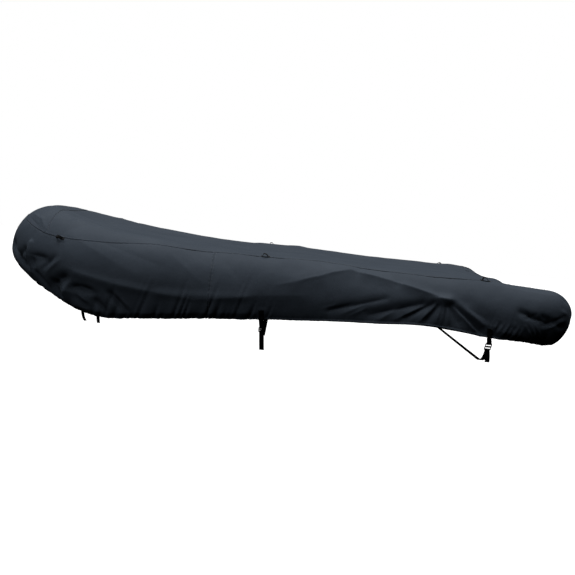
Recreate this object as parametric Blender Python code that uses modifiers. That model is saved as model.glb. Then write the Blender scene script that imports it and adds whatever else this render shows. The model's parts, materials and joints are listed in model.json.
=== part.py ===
"""Fitted boat cover: a top panel and a bow cap, a bow panel, two side panels and a stern
panel, sewn edge to edge, with webbing loops on the long seams and belly straps below.

Metres, +Z up. The bow end points to -X and the port side to -Y. The origin is under the
middle of the top panel, where the cover is held up. The cover hangs in its fitted shape:
two long side rolls that meet round the bow, each closed by a rounded sock at the stern.
"""

import math
from functools import lru_cache

import bmesh
import bpy
import numpy as np
from mathutils import Matrix, Vector
from mathutils.bvhtree import BVHTree

# ---------------------------------------------------------------- driving dimensions
CLOTH = 0.0015  # coated woven cloth, one layer
SEAM_GAP = 0.0008  # between the faces of two panels at a seam
CLEAR = 0.0003  # between a fitting and what it touches

HALF_SPAN = 0.55  # centreline to the crown line of each side roll
BOW_LENGTH = 0.71  # the stretch in which the crown lines curve in to the bow
BOW_BEND_X = -0.58  # where they start to curve
TRANSOM_X = 1.22  # aft edge of the top panel
STERN_X = 1.415  # centre of the rounded end of each stern sock
STERN_REACH = 0.148  # radius of that rounded end

SIDE_SEAM_X = -0.305  # upright seam between bow panel and side panel
CAP_SEAM_X = -1.20  # cross seam between bow cap and top panel
STARBOARD_SOCK_DROP = 0.034  # the starboard sock droops this much more at its end
TOP_SAG = 0.012  # how far the top panel sags between the side rolls
TOP_SAG_IN = 0.30  # distance in from the crown line at which it is full
TOP_TAUT = 0.40  # length before the aft edge in which the sag goes

HEM_ROLL = 0.014  # height of the gathered elastic hem
HEM_ROLL_OUT = 0.005  # how far it stands out

WEBBING = 0.0016  # thickness of all webbing
STRAP_WIDTH = 0.025
STRAP_RADIUS = 0.2155  # the straps are drawn round under the side rolls at this radius
STRAP_LEAN = 0.096  # how far a strap or tie drifts aft for each metre down
STRAP_TURN_BACK = 0.014  # end of the short strap, turned back behind a buckle's bar
TURN_PAST_HEM = 8.0  # degrees in which a belly strap leaves the hem for its own round
BELOW_BUCKLE = 0.008  # where it leaves that round again, below the buckle
TAIL_BOW = 0.006  # how far its free end bows out as it hangs

BUCKLE_SIZE = (0.034, 0.0045, 0.044)  # width, thickness, height
BUCKLE_WINDOW = (0.0270, 0.0115)  # width and height of each of its two windows
BUCKLE_BAR = 0.006  # height of the bars above and below the windows

TIE_WIDTH = 0.017
TIE_SEWN = 0.030  # length of a tie sewn inside the hem
TIE_PAST_HEM = 0.003  # how far it runs in past the hem
TIE_BEND = 0.005  # radius at which it turns down there
HEM_CLEAR = 0.0012  # further clearance of webbing where it passes the hem
PRESS_FROM = 0.030  # distance from which a fitting is pressed to the cloth
PRESS_REACH = 0.006  # how far round a point the cloth holds webbing up

# How many points each panel has, down the wall or across the cover, and how far apart.
BOW_ROWS, PORT_ROWS, STARBOARD_ROWS = 11, 12, 8
TOP_POINTS = 11
STERN_SECTION_COUNT, STERN_ROWS = 13, 9
SOCK_PITCH = 0.045
STRAP_PITCH = 0.009
CURVE_STEPS = np.linspace(0.2, 1.0, 5).tolist()  # shares of a hanging end

# The cloth's cross-section along a side roll, a row for each place on the crown line:
# heights of the crown, the widest point and the hem, the reach of the widest point
# out from the crown line, how far the hem tucks back in, and the seam's angle down
# from the crown in degrees.
SECTION_COLUMNS = ("x", "crown", "flank", "hem", "reach", "tuck", "seam_angle")
SECTIONS = (
    (-1.29, 0.153, -0.096, -0.215, 0.232, 0.150, 42.0),
    (-1.22, 0.140, -0.103, -0.240, 0.227, 0.125, 48.0),
    (-1.10, 0.111, -0.116, -0.292, 0.221, 0.100, 54.0),
    (-0.95, 0.084, -0.135, -0.345, 0.217, 0.080, 51.0),
    (-0.80, 0.062, -0.148, -0.367, 0.215, 0.060, 42.0),
    (-0.60, 0.040, -0.165, -0.347, 0.214, 0.050, 28.0),
    (-0.40, 0.027, -0.177, -0.325, 0.213, 0.045, 25.0),
    (-0.10, 0.013, -0.190, -0.302, 0.213, 0.032, 15.0),
    (0.20, 0.017, -0.193, -0.280, 0.213, 0.018, 15.0),
    (0.50, 0.007, -0.203, -0.265, 0.213, 0.009, 19.0),
    (0.80, 0.001, -0.212, -0.252, 0.213, 0.005, 20.0),
    (0.95, 0.000, -0.213, -0.264, 0.213, 0.006, 17.0),
    (1.08, -0.007, -0.212, -0.278, 0.213, 0.011, 12.0),
    (1.22, -0.021, -0.206, -0.286, 0.200, 0.025, 0.0),
    (1.30, -0.026, -0.192, -0.292, 0.180, 0.050, 0.0),
    (1.415, -0.031, -0.152, -0.310, 0.148, 0.120, 0.0),
)

# The stern panel, a row for each cross-section from the end of a sock to the
# centreline: share of the way, top edge and hem in plan, height of the hem, and how
# far the cloth bulges out from its top edge.
STERN_COLUMNS = ("share", "top_x", "top_y", "hem_x", "hem_y", "hem", "bulge")
STERN_SECTIONS = (
    (0.00, 1.415, -0.550, 1.415, -0.520, -0.310, 0.190),
    (0.15, 1.340, -0.550, 1.340, -0.440, -0.300, 0.215),
    (0.28, 1.270, -0.550, 1.295, -0.385, -0.290, 0.225),
    (0.40, 1.221, -0.540, 1.272, -0.345, -0.285, 0.210),
    (0.52, 1.221, -0.460, 1.262, -0.290, -0.280, 0.140),
    (0.66, 1.221, -0.350, 1.256, -0.235, -0.276, 0.085),
    (0.82, 1.221, -0.190, 1.252, -0.140, -0.274, 0.060),
    (1.00, 1.221, 0.000, 1.250, 0.000, -0.274, 0.055),
)
SOCK_SHARE = 0.25  # share of the way in which the panel leaves the sock's own round

# Where the cross-sections of the long panels are closer or wider apart: up to a distance
# along the crown line from the bow tip, and the pitch there.
STATION_COLUMNS = ("up_to", "pitch")
STATION_PITCHES = ((0.95, 0.030), (1.62, 0.065), (2.00, 0.046), (2.74, 0.029), (2.99, 0.045))

# Main folds of each side, a row for each: where it starts and ends, as the distance
# along the crown line from the bow tip and the distance down the cloth from the crown,
# its half-width at both ends and its height, which is negative for a trough.
FOLD_COLUMNS = ("along0", "down0", "along1", "down1", "width0", "width1", "height")
PORT_FOLDS = (
    # the long shoulder held up from inside, and the hard point at its aft end
    (1.70, 0.225, 1.80, 0.185, 0.050, 0.045, 0.009),
    (1.88, 0.150, 1.96, 0.122, 0.045, 0.040, 0.010),
    (2.04, 0.135, 2.16, 0.160, 0.035, 0.035, 0.010),
    (2.24, 0.178, 2.36, 0.212, 0.032, 0.030, 0.009),
    (2.40, 0.235, 2.46, 0.235, 0.030, 0.030, 0.016),
    # the fan of folds below it
    (2.33, 0.262, 2.07, 0.345, 0.020, 0.032, -0.010),
    (2.14, 0.262, 1.88, 0.350, 0.022, 0.026, -0.005),
    (2.385, 0.255, 2.25, 0.340, 0.017, 0.022, -0.009),
    (2.41, 0.268, 2.36, 0.345, 0.016, 0.020, -0.007),
    (2.46, 0.265, 2.51, 0.335, 0.020, 0.028, -0.010),
    (2.48, 0.255, 2.63, 0.360, 0.018, 0.018, -0.011),
    (2.52, 0.255, 2.63, 0.330, 0.022, 0.022, 0.005),
    (2.56, 0.240, 2.66, 0.300, 0.040, 0.040, -0.006),
    # the edge where the cloth turns under the flank
    (0.66, 0.362, 0.95, 0.372, 0.022, 0.022, 0.005),
    (1.02, 0.375, 1.44, 0.330, 0.022, 0.022, 0.005),
    # the bow: a deep V, a sharp upright fold and its hollows, and the slack round folds
    (0.20, 0.350, 0.33, 0.415, 0.032, 0.024, -0.014),
    (0.35, 0.340, 0.37, 0.415, 0.020, 0.024, -0.010),
    (0.388, 0.290, 0.396, 0.440, 0.014, 0.016, 0.008),
    (0.43, 0.372, 0.49, 0.345, 0.024, 0.018, -0.008),
    (0.44, 0.438, 0.49, 0.500, 0.016, 0.020, -0.009),
    (0.60, 0.400, 0.54, 0.455, 0.024, 0.028, -0.014),
    (0.53, 0.485, 0.57, 0.530, 0.028, 0.024, -0.013),
    (0.61, 0.470, 0.60, 0.520, 0.018, 0.018, 0.008),
    (0.65, 0.445, 0.73, 0.435, 0.022, 0.020, -0.010),
    (0.66, 0.490, 0.70, 0.510, 0.024, 0.024, -0.008),
    (0.82, 0.420, 0.88, 0.490, 0.016, 0.020, -0.008),
    (0.76, 0.480, 0.79, 0.520, 0.018, 0.018, -0.008),
    # the stern sock: two long slack folds and the first gathers
    (2.83, 0.232, 2.97, 0.250, 0.020, 0.026, -0.009),
    (2.95, 0.222, 3.07, 0.262, 0.014, 0.018, -0.007),
    (2.72, 0.315, 2.70, 0.375, 0.014, 0.016, -0.005),
    (2.79, 0.320, 2.77, 0.375, 0.014, 0.016, -0.005),
)
STARBOARD_FOLDS = (
    # the crown is held up beside the middle loop and at the corner of the top panel
    (1.50, -0.010, 1.70, 0.010, 0.060, 0.060, 0.011),
    (2.72, -0.020, 2.84, 0.000, 0.060, 0.050, 0.016),
    # shoulder, hard point and fan
    (1.74, 0.215, 1.98, 0.130, 0.048, 0.040, 0.009),
    (2.08, 0.150, 2.34, 0.215, 0.034, 0.030, 0.009),
    (2.37, 0.238, 2.43, 0.236, 0.030, 0.030, 0.015),
    (2.30, 0.265, 2.06, 0.340, 0.024, 0.030, -0.009),
    (2.36, 0.265, 2.24, 0.340, 0.022, 0.024, -0.009),
    (2.43, 0.265, 2.46, 0.340, 0.024, 0.028, -0.009),
    (2.46, 0.255, 2.62, 0.365, 0.024, 0.024, -0.010),
    # the edge under the flank
    (0.70, 0.365, 1.42, 0.335, 0.024, 0.024, 0.005),
    # slack folds of the bow and the sock
    (0.24, 0.345, 0.34, 0.415, 0.032, 0.026, -0.012),
    (0.50, 0.385, 0.46, 0.460, 0.026, 0.026, -0.010),
    (0.63, 0.415, 0.58, 0.510, 0.026, 0.026, -0.012),
    (0.74, 0.440, 0.81, 0.500, 0.024, 0.024, -0.009),
    (0.92, 0.420, 0.97, 0.485, 0.024, 0.024, -0.007),
    (2.81, 0.235, 2.99, 0.260, 0.024, 0.026, -0.009),
)

# Webbing loops on the long seams, a row for each: its place along the crown line and
# down the cloth past the seam, the length that it spans, its width, how far its arch
# rises, and how far the arch slumps towards the bow and down the cloth.
LOOP_COLUMNS = ("name", "along", "past", "span", "width", "rise", "forward", "slump")
LOOP_FOOT = 0.22  # share of the span that is sewn down at each end
ARCH_START = 22.0  # degrees round the arch at which it leaves the feet
LOOPS = (
    ("port_bow", 0.540, 0.006, 0.044, 0.016, 0.020, 0.004, 0.004),
    ("port_middle", 1.528, 0.000, 0.046, 0.018, 0.015, 0.006, 0.000),
    ("port_stern", 2.668, 0.000, 0.052, 0.022, 0.019, 0.005, 0.002),
    ("starboard_bow", 0.550, 0.006, 0.044, 0.016, 0.018, -0.003, 0.003),
    ("starboard_middle", 1.530, 0.000, 0.046, 0.018, 0.017, 0.003, 0.000),
    ("starboard_stern", 2.660, 0.006, 0.052, 0.022, 0.014, 0.003, 0.003),
)

# Belly straps, a row for each: x at the upper end, length sewn to the cloth above the
# hem, the buckle's angle round the roll from its crown, and the free end's length.
STRAP_COLUMNS = ("name", "x", "sewn", "buckle_angle", "tail")
STRAPS = (
    ("middle", -0.040, 0.057, 140.0, 0.090),
    ("stern", 1.100, 0.050, 122.0, 0.062),
)

# Ties that hang from inside the bow hem, a row for each: place along the crown line,
# length below the hem, turn of the webbing from facing outward, and its end's curl aft.
TIE_COLUMNS = ("name", "along", "length", "turn", "curl")
TIES = (("fore", 0.655, 0.056, 70.0, 0.016), ("aft", 0.740, 0.044, 20.0, 0.002))


# ---------------------------------------------------------------- the cloth's shape
def eased(t):
    """0 up to t = 0, 1 from t = 1, and a smooth rise between."""
    t = min(max(t, 0.0), 1.0)
    return t * t * (3 - 2 * t)


def smooth_reading(rows, index, place):
    """A column of a table at a place in its first column, as a smooth curve through."""
    places = np.array([row[0] for row in rows])
    values = np.array([row[index] for row in rows])
    slopes = np.gradient(values, places)
    place = min(max(place, places[0]), places[-1])
    i = min(int(np.searchsorted(places, place, side="right")) - 1, len(places) - 2)
    span = places[i + 1] - places[i]
    t = (place - places[i]) / span
    rise = t * (1 - t) * ((1 - t) * slopes[i] - t * slopes[i + 1]) * span
    return float(values[i] + (values[i + 1] - values[i]) * eased(t) + rise)


def column(name, x):
    return smooth_reading(SECTIONS, SECTION_COLUMNS.index(name), x)


def bow_arc():
    """Angles round the bow's quarter ellipse, and the arc length up to each."""
    angles = np.linspace(0, math.pi / 2, 200)
    x = -BOW_LENGTH * np.cos(angles)
    y = -HALF_SPAN * np.sin(angles)
    steps = np.hypot(np.diff(x), np.diff(y))
    return angles, np.concatenate([[0], np.cumsum(steps)])


BOW_ANGLES, BOW_ARCS = bow_arc()
STRAIGHT_START = float(BOW_ARCS[-1])
SOCK_START = STRAIGHT_START + STERN_X - BOW_BEND_X
SOCK_END = SOCK_START + math.pi * STERN_REACH
SIDE_SEAM = STRAIGHT_START + SIDE_SEAM_X - BOW_BEND_X


def spaced(start, end, pitch):
    """Evenly spaced values with a step near the pitch, both ends included."""
    return np.linspace(start, end, max(2, round(abs(end - start) / pitch) + 1))


def all_stations():
    """Places of the cross-sections along the crown line, from the bow tip to a sock."""
    found = [0.0]
    for limit, pitch in STATION_PITCHES:
        end = min(limit, SOCK_START)
        found += spaced(found[-1], end, pitch)[1:].tolist()
    return found


STATIONS = all_stations()


def stations(start, end):
    """The cross-sections between two places on the crown line, with both of these."""
    close = 0.008
    return [start, *[along for along in STATIONS if start + close < along < end - close], end]


def crown_line(along):
    """Port crown line at a distance from the bow tip: centre and outward way in plan."""
    if along < STRAIGHT_START:
        angle = np.interp(along, BOW_ARCS, BOW_ANGLES)
        centre = (BOW_BEND_X - BOW_LENGTH * math.cos(angle), -HALF_SPAN * math.sin(angle))
        outward = Vector((-math.cos(angle) / BOW_LENGTH, -math.sin(angle) / HALF_SPAN))
        return centre, tuple(outward.normalized())
    if along < SOCK_START:
        return (BOW_BEND_X + along - STRAIGHT_START, -HALF_SPAN), (0.0, -1.0)
    turn = (along - SOCK_START) / STERN_REACH
    return (STERN_X, -HALF_SPAN), (math.sin(turn), -math.cos(turn))


ARC_STEPS = 40  # points on each quarter of a cross-section


@lru_cache(maxsize=None)
def section(x):
    """Cross-section at x: distance down the cloth, out from the crown line, height."""
    crown, flank, hem = column("crown", x), column("flank", x), column("hem", x)
    reach, tuck = column("reach", x), column("tuck", x)
    turn = np.linspace(0, math.pi / 2, ARC_STEPS)
    upper_out, upper_up = reach * np.sin(turn), flank + (crown - flank) * np.cos(turn)
    lower_out = reach - tuck * (1 - np.cos(turn[1:]))
    lower_up = flank - (flank - hem) * np.sin(turn[1:])
    out = np.concatenate([upper_out, lower_out])
    up = np.concatenate([upper_up, lower_up])
    down = np.concatenate([[0], np.cumsum(np.hypot(np.diff(out), np.diff(up)))])
    return down, out, up


def seam_down(x):
    """Distance down the cloth from the crown to the long seam."""
    down, out, _ = section(x)
    seam_out = column("reach", x) * math.sin(math.radians(column("seam_angle", x)))
    return float(np.interp(seam_out, out[:ARC_STEPS], down[:ARC_STEPS]))


def fold_relief(along, down, port=True):
    """Height of the folds at a place on the cloth of one side."""
    total = 0.0
    for row in PORT_FOLDS if port else STARBOARD_FOLDS:
        along0, down0, along1, down1, width0, width1, height = row
        run = Vector((along1 - along0, down1 - down0))
        offset = Vector((along - along0, down - down0))
        t = min(max(offset.dot(run) / run.length_squared, 0), 1)
        width = width0 + (width1 - width0) * t
        total += height * math.exp(-(((offset - t * run).length / width) ** 2))
    return total


def hem_relief(down, hem):
    """The gathered elastic hem stands out as a small roll."""
    t = (down - hem + HEM_ROLL) / HEM_ROLL
    return HEM_ROLL_OUT * math.sin(math.pi * t) if t > 0 else 0.0


def sock_droop(x):
    """How much lower the starboard sock hangs than the port one."""
    return STARBOARD_SOCK_DROP * eased((x - TRANSOM_X) / (STERN_X - TRANSOM_X))


def side_point(along, down, port=True):
    """A point of the cover's outer face below the crown line, and its outward normal."""
    (cx, cy), (nx, ny) = crown_line(along)
    girth, out, up = section(cx)
    o, z = np.interp(down, girth, out), np.interp(down, girth, up)
    step = 0.01
    o0, o1 = np.interp([down - step, down + step], girth, out)
    z0, z1 = np.interp([down - step, down + step], girth, up)
    tangent = Vector((o1 - o0, z1 - z0)).normalized()
    relief = hem_relief(down, girth[-1]) + fold_relief(along, down, port)
    o -= tangent.y * relief
    z += tangent.x * relief
    if not port:
        z -= sock_droop(cx)
    side = 1 if port else -1
    point = Vector((cx + nx * o, side * (cy + ny * o), z))
    normal = Vector((-tangent.y * nx, -tangent.y * ny * side, tangent.x))
    return point, normal


PLAN = [crown_line(along) for along in np.linspace(0, SOCK_START, 400)]
PLAN_ALONG = np.linspace(0, SOCK_START, 400)
PLAN_CENTRES = np.array([centre for centre, _ in PLAN])
PLAN_OUTWARD = np.array([outward for _, outward in PLAN])


def top_point(x, y):
    """A point of the cover's outer face above the long seams."""
    port = y <= 0
    away = np.array([x, -abs(y)]) - PLAN_CENTRES
    nearest = int(np.argmin(np.hypot(away[:, 0], away[:, 1])))
    outside = float(away[nearest] @ PLAN_OUTWARD[nearest])
    if outside > 0:
        girth, out, _ = section(PLAN_CENTRES[nearest, 0])
        down = float(np.interp(outside, out[:ARC_STEPS], girth[:ARC_STEPS]))
        return Vector((x, y, side_point(PLAN_ALONG[nearest], down, port)[0].z))
    sag = TOP_SAG * eased(-outside / TOP_SAG_IN) * eased((TRANSOM_X - x) / TOP_TAUT)
    relief = fold_relief(PLAN_ALONG[nearest], outside, port)
    return Vector((x, y, column("crown", x) - sag + relief))


# ---------------------------------------------------------------- making solids
def material(name, colour, roughness, metallic=0.0):
    made = bpy.data.materials.new(name)
    made.use_nodes = True
    shader = made.node_tree.nodes["Principled BSDF"]
    shader.inputs["Base Color"].default_value = (*colour, 1)
    shader.inputs["Roughness"].default_value = roughness
    shader.inputs["Metallic"].default_value = metallic
    return made


def place(name, mesh, finish):
    """A new object of the cover, in its collection and with its own material."""
    piece = bpy.data.objects.new(name, mesh)
    mesh.materials.append(material(name, *finish))
    mesh.shade_smooth()
    bpy.data.collections["boat_cover"].objects.link(piece)
    return piece


def sheet(name, points, outward, finish, thickness=CLOTH):
    """A sheet of cloth through rows of points, with its thickness on the inner side.

    outward is a function that gives the outward way at a place on the sheet."""
    rows, columns = len(points), len(points[0])
    bm = bmesh.new()
    bmesh.ops.create_grid(bm, x_segments=columns - 1, y_segments=rows - 1)
    bm.verts.ensure_lookup_table()
    for i, row in enumerate(points):
        for j, point in enumerate(row):
            bm.verts[i * columns + j].co = point
    bmesh.ops.remove_doubles(bm, verts=bm.verts, dist=1e-5)
    bm.normal_update()
    facing = sum(face.normal.dot(outward(face.calc_center_median())) for face in bm.faces)
    if facing < 0:
        bmesh.ops.reverse_faces(bm, faces=bm.faces)
    mesh = bpy.data.meshes.new(name)
    bm.to_mesh(mesh)
    bm.free()
    piece = place(name, mesh, finish)
    solid = piece.modifiers.new("cloth thickness", "SOLIDIFY")
    solid.thickness = thickness
    solid.offset = -1
    solid.use_even_offset = True
    solid.thickness_clamp = 0.9
    return piece


def from_middle(point):
    """Outward way on the cover's walls, from a line along the middle of its hollow."""
    return Vector((point.x * 0.2, point.y, point.z + 0.25))


def upward(_point):
    return Vector((0, 0, 1))


# colour and roughness
CLOTH_FINISH = ((0.030, 0.036, 0.044), 0.75)
WEBBING_FINISH = ((0.006, 0.006, 0.007), 0.65)
BUCKLE_FINISH = ((0.010, 0.010, 0.011), 0.35)


# ---------------------------------------------------------------- cloth panels
def rim_point(along, port, side):
    """A point on the edge of a panel at the long seam: side is +1 below it, -1 above."""
    down = seam_down(crown_line(along)[0][0]) + side * SEAM_GAP / 2
    return side_point(along, max(down, 0), port)[0]


def down_rows(x, rows):
    """Places down the cloth from the long seam to the hem, closer on the hem's roll."""
    girth = section(x)[0][-1]
    top = seam_down(x) + SEAM_GAP / 2
    wall = np.linspace(top, girth - HEM_ROLL, rows)
    return list(wall) + [girth - HEM_ROLL / 2, girth]


def skirt(name, places, rows):
    """A panel of the wall. A place is (distance from the bow tip, on the port side)."""
    points = []
    for along, port in places:
        x = crown_line(along)[0][0]
        points.append([side_point(along, down, port)[0] for down in down_rows(x, rows)])
    return sheet(name, points, from_middle, CLOTH_FINISH)


def bow_panel():
    end = SIDE_SEAM - SEAM_GAP / 2
    port = [(along, True) for along in stations(0, end)]
    starboard = [(along, False) for along in stations(0, end)[:0:-1]]
    return skirt("bow_panel", starboard + port, BOW_ROWS)


def side_panel(port):
    name = "port_side_panel" if port else "starboard_side_panel"
    straight = stations(SIDE_SEAM + SEAM_GAP / 2, SOCK_START)
    sock = spaced(SOCK_START, SOCK_END, SOCK_PITCH)[1:]
    places = [(along, port) for along in [*straight, *sock]]
    return skirt(name, places, PORT_ROWS if port else STARBOARD_ROWS)


def top_rows(start_x, end_x):
    """Rows of a panel above the long seams, from its port rim to its starboard rim."""
    rims = [(rim_point(along, True, -1), rim_point(along, False, -1)) for along in STATIONS]
    xs = [port.x for port, _ in rims]
    ends = []
    for x in (start_x, end_x):
        i = min(max(int(np.searchsorted(xs, x)), 1), len(xs) - 1)
        t = (x - xs[i - 1]) / (xs[i] - xs[i - 1])
        ends.append(tuple(rims[i - 1][side].lerp(rims[i][side], t) for side in (0, 1)))
    close = 0.004
    inner = [rim for rim in rims if start_x + close < rim[0].x < end_x - close]
    shares = np.sin(np.linspace(-math.pi / 2, math.pi / 2, TOP_POINTS))[1:-1].tolist()
    rows = []
    for port, starboard in [ends[0], *inner, ends[1]]:
        middle = [top_point(port.x, share * -port.y) for share in shares]
        rows.append([port, *middle, starboard])
    return rows


def top_panel():
    rows = top_rows(CAP_SEAM_X + SEAM_GAP / 2, TRANSOM_X)
    return sheet("top_panel", rows, upward, CLOTH_FINISH)


def bow_cap():
    tip = rim_point(0, True, -1).x
    rows = top_rows(tip, CAP_SEAM_X - SEAM_GAP / 2)
    return sheet("bow_cap", rows, upward, CLOTH_FINISH)


def stern_section(share, port):
    """A row of the stern panel, from its top edge down to its hem: a soft shoulder that
    bulges out, then the cloth falls to the hem."""
    top_x, top_y, hem_x, hem_y, hem, bulge = (
        smooth_reading(STERN_SECTIONS, i, share) for i in range(1, len(STERN_COLUMNS))
    )
    top_x = max(top_x, TRANSOM_X + SEAM_GAP)
    top_y = max(top_y, SEAM_GAP - HALF_SPAN)
    top = top_point(top_x, top_y if port else -top_y)
    top.y = top_y
    foot = Vector((hem_x, hem_y, hem))
    away = Vector((foot.x - top.x, foot.y - top.y, 0)).normalized()
    shoulder = top + away * bulge
    waist = Vector((shoulder.x, shoulder.y, foot.z + 0.3 * (top.z - foot.z)))
    girth = section(STERN_X)[0][-1]
    even = np.linspace(0, 1, STERN_ROWS)
    closer_to_top = even**1.4
    leave = eased(share / SOCK_SHARE)
    row = []
    for t, down in zip(closer_to_top.tolist(), (girth * even).tolist()):
        point = (1 - t) ** 3 * top + 3 * t * (1 - t) ** 2 * shoulder
        point += 3 * t * t * (1 - t) * waist + t**3 * foot
        if not port:
            point = Vector((point.x, -point.y, point.z - sock_droop(top_x)))
        sock = side_point(SOCK_END, down, port)[0] - Vector((SEAM_GAP, 0, 0))
        row.append(sock.lerp(point, leave))
    return row


def stern_panel():
    shares = np.linspace(0, 1, STERN_SECTION_COUNT).tolist()
    rows = [stern_section(share, True) for share in shares]
    rows += [stern_section(share, False) for share in shares[-2::-1]]
    return sheet("stern_panel", rows, from_middle, CLOTH_FINISH)


# ---------------------------------------------------------------- webbing and fittings
def cloth_bed(panels):
    """The faces of finished panels, as one bed that fittings are pressed to."""
    graph = bpy.context.evaluated_depsgraph_get()
    points, faces = [], []
    for panel in panels:
        mesh = panel.evaluated_get(graph).to_mesh()
        mesh.calc_loop_triangles()
        first = len(points)
        points += [vertex.co.copy() for vertex in mesh.vertices]
        faces += [[first + i for i in face.vertices] for face in mesh.loop_triangles]
    return BVHTree.FromPolygons(points, faces)


def pressed(bed, point, away):
    """The point, moved along the way away from the cloth to where webbing lies on it.

    Webbing bridges small hollows, so the highest cloth just round the point counts."""
    side = away.orthogonal().normalized() * PRESS_REACH
    other = away.cross(side).normalized() * PRESS_REACH
    levels = []
    for spot in (point, point + side, point - side, point + other, point - other):
        hit = bed.ray_cast(spot + away * PRESS_FROM, -away, 2 * PRESS_FROM)[0]
        if hit:
            levels.append((hit - point).dot(away))
    return point + away * (max(levels) + WEBBING / 2 + CLEAR)


def webbing(name, rows):
    """A flat strip through rows of three points across it."""
    piece = sheet(name, rows, upward, WEBBING_FINISH, WEBBING)
    piece.modifiers["cloth thickness"].offset = 0
    piece.data.set_sharp_from_angle(angle=math.radians(40))
    return piece


def strip_rows(route, across, width):
    """Rows of a strip along a route, its width along the way across it at each point."""
    rows = []
    for point, way in zip(route, across):
        half = way.normalized() * width / 2
        rows.append([point - half, point, point + half])
    return rows


def cloth_row(along, width, above_hem, port, bed, inside=False):
    """A row of a strip that lies on the cloth or inside it, this far above the hem."""
    row = []
    for offset in (-width / 2, 0, width / 2):
        girth = section(crown_line(along + offset)[0][0])[0][-1]
        point, normal = side_point(along + offset, girth - above_hem, port)
        away = -normal if inside else normal
        if above_hem > HEM_ROLL:
            row.append(pressed(bed, point, away))
        elif inside:
            row.append(point + away * (CLOTH + WEBBING / 2 + HEM_CLEAR))
        else:
            row.append(pressed(bed, point, away) + away * HEM_CLEAR)
    return row


X_WAY = Vector((1, 0, 0))


def roll_point(x, angle, radius, port):
    """A point at an angle in degrees from the crown, round the middle of a side roll."""
    turn = math.radians(angle)
    y = HALF_SPAN + radius * math.sin(turn)
    return Vector((x, -y if port else y, column("flank", x) + radius * math.cos(turn)))


def strap_top(x, sewn, port):
    """Upper end of a strap that starts at x, on the cloth."""
    girth = section(x)[0][-1]
    return side_point(STRAIGHT_START + x - BOW_BEND_X, girth - sewn, port)[0]


def hem_rows(x, sewn, port, bed):
    """A strap's rows down the cloth: its sewn stretch, then over the hem's roll."""
    girth = section(x)[0][-1]
    top = strap_top(x, sewn, port)
    rows = []
    flat = spaced(sewn, HEM_ROLL + STRAP_PITCH, STRAP_PITCH).tolist()
    for above_hem in [*flat, HEM_ROLL / 2, 0]:
        along = STRAIGHT_START + x - BOW_BEND_X
        level = side_point(along, girth - above_hem, port)[0].z
        along += STRAP_LEAN * (top.z - level)
        rows.append(cloth_row(along, STRAP_WIDTH, above_hem, port, bed))
    return rows


def drifted(points, top, x):
    """The points, each set aft of x by the strap's drift at its height."""
    return [Vector((x + STRAP_LEAN * (top.z - p.z), p.y, p.z)) for p in points]


def buckle_frame(angle, x, sewn):
    """The buckle's centre, its outward way and its way up along the strap."""
    half_gap = BUCKLE_SIZE[1] / 2 + 2 * CLEAR + WEBBING / 2
    centre = roll_point(x, angle, STRAP_RADIUS + half_gap, True)
    centre = drifted([centre], strap_top(x, sewn, True), x)[0]
    turn = math.radians(angle)
    outward = Vector((0, -math.sin(turn), math.cos(turn)))
    up = Vector((0, math.cos(turn), math.sin(turn)))
    return centre, outward, up


def round_bar(frame, sign):
    """Webbing round one of a buckle's bars through its window, from front to back.

    sign is +1 for the upper bar, which it passes below, and -1 for the lower one."""
    centre, outward, up = frame
    bend = WEBBING / 2 + 2 * CLEAR
    bar = sign * (BUCKLE_SIZE[2] - BUCKLE_BAR) / 2
    corner = bar - sign * BUCKLE_BAR / 2
    path = [(BUCKLE_SIZE[1] / 2 + bend, bar)]
    for side, turns in ((1, (0, 45, 90)), (-1, (90, 45, 0))):
        for turn in turns:
            a = math.radians(turn)
            deep = side * (BUCKLE_SIZE[1] / 2 + bend * math.cos(a))
            path.append((deep, corner - sign * bend * math.sin(a)))
    path.append((-BUCKLE_SIZE[1] / 2 - bend, bar))
    return [centre + outward * deep + up * height for deep, height in path]


def anchor_strap(name, x, sewn, angle, bed):
    """The short port strap: sewn on, over the hem, round the buckle's upper bar, and
    turned back behind itself."""
    frame = buckle_frame(angle, x, sewn)
    rows = hem_rows(x, sewn, True, bed)
    turn = round_bar(frame, 1)
    past_bar = frame[2] * (BUCKLE_BAR / 2 + 3 * CLEAR)
    front, back = turn[0] + past_bar, turn[-1] + past_bar
    way_up = (rows[-1][1] - front).normalized()
    inward = way_up.cross(X_WAY).normalized()
    if inward.dot(frame[1]) > 0:
        inward.negate()
    end = front + way_up * STRAP_TURN_BACK + inward * (WEBBING + 2 * CLEAR)
    end.x = front.x
    route = [front, *turn, back, end]
    rows += strip_rows(route, [X_WAY] * len(route), STRAP_WIDTH)
    return webbing(f"{name}_anchor_strap", rows)


def belly_strap(name, x, sewn, angle, tail, bed):
    """The long strap: sewn on the starboard side, under the cover, round the buckle's
    lower bar, with a free end that hangs plumb."""
    top = strap_top(x, sewn, False)
    frame = buckle_frame(angle, x, sewn)
    turn = round_bar(frame, -1)[::-1]
    rows = hem_rows(x, sewn, False, bed)
    crest = rows[-1][1]
    first = math.degrees(math.atan2(crest.y - HALF_SPAN, crest.z - column("flank", x)))
    first += TURN_PAST_HEM
    last = angle + math.degrees((BUCKLE_SIZE[2] / 2 + BELOW_BUCKLE) / STRAP_RADIUS)
    around = [roll_point(x, a, STRAP_RADIUS, False) for a in np.linspace(first, 180, 9)]
    around += [roll_point(x, a, STRAP_RADIUS, True) for a in np.linspace(180, last, 6)]
    end = turn[-1]
    hanging = []
    for fall in CURVE_STEPS:
        swing = TAIL_BOW * math.sin(math.pi * fall)
        hanging.append(Vector((x, end.y - swing, end.z - tail * fall)))
    route = drifted(around, top, x) + turn + drifted(hanging, end, frame[0].x)
    rows += strip_rows(route, [X_WAY] * len(route), STRAP_WIDTH)
    return webbing(f"{name}_belly_strap", rows)


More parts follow.
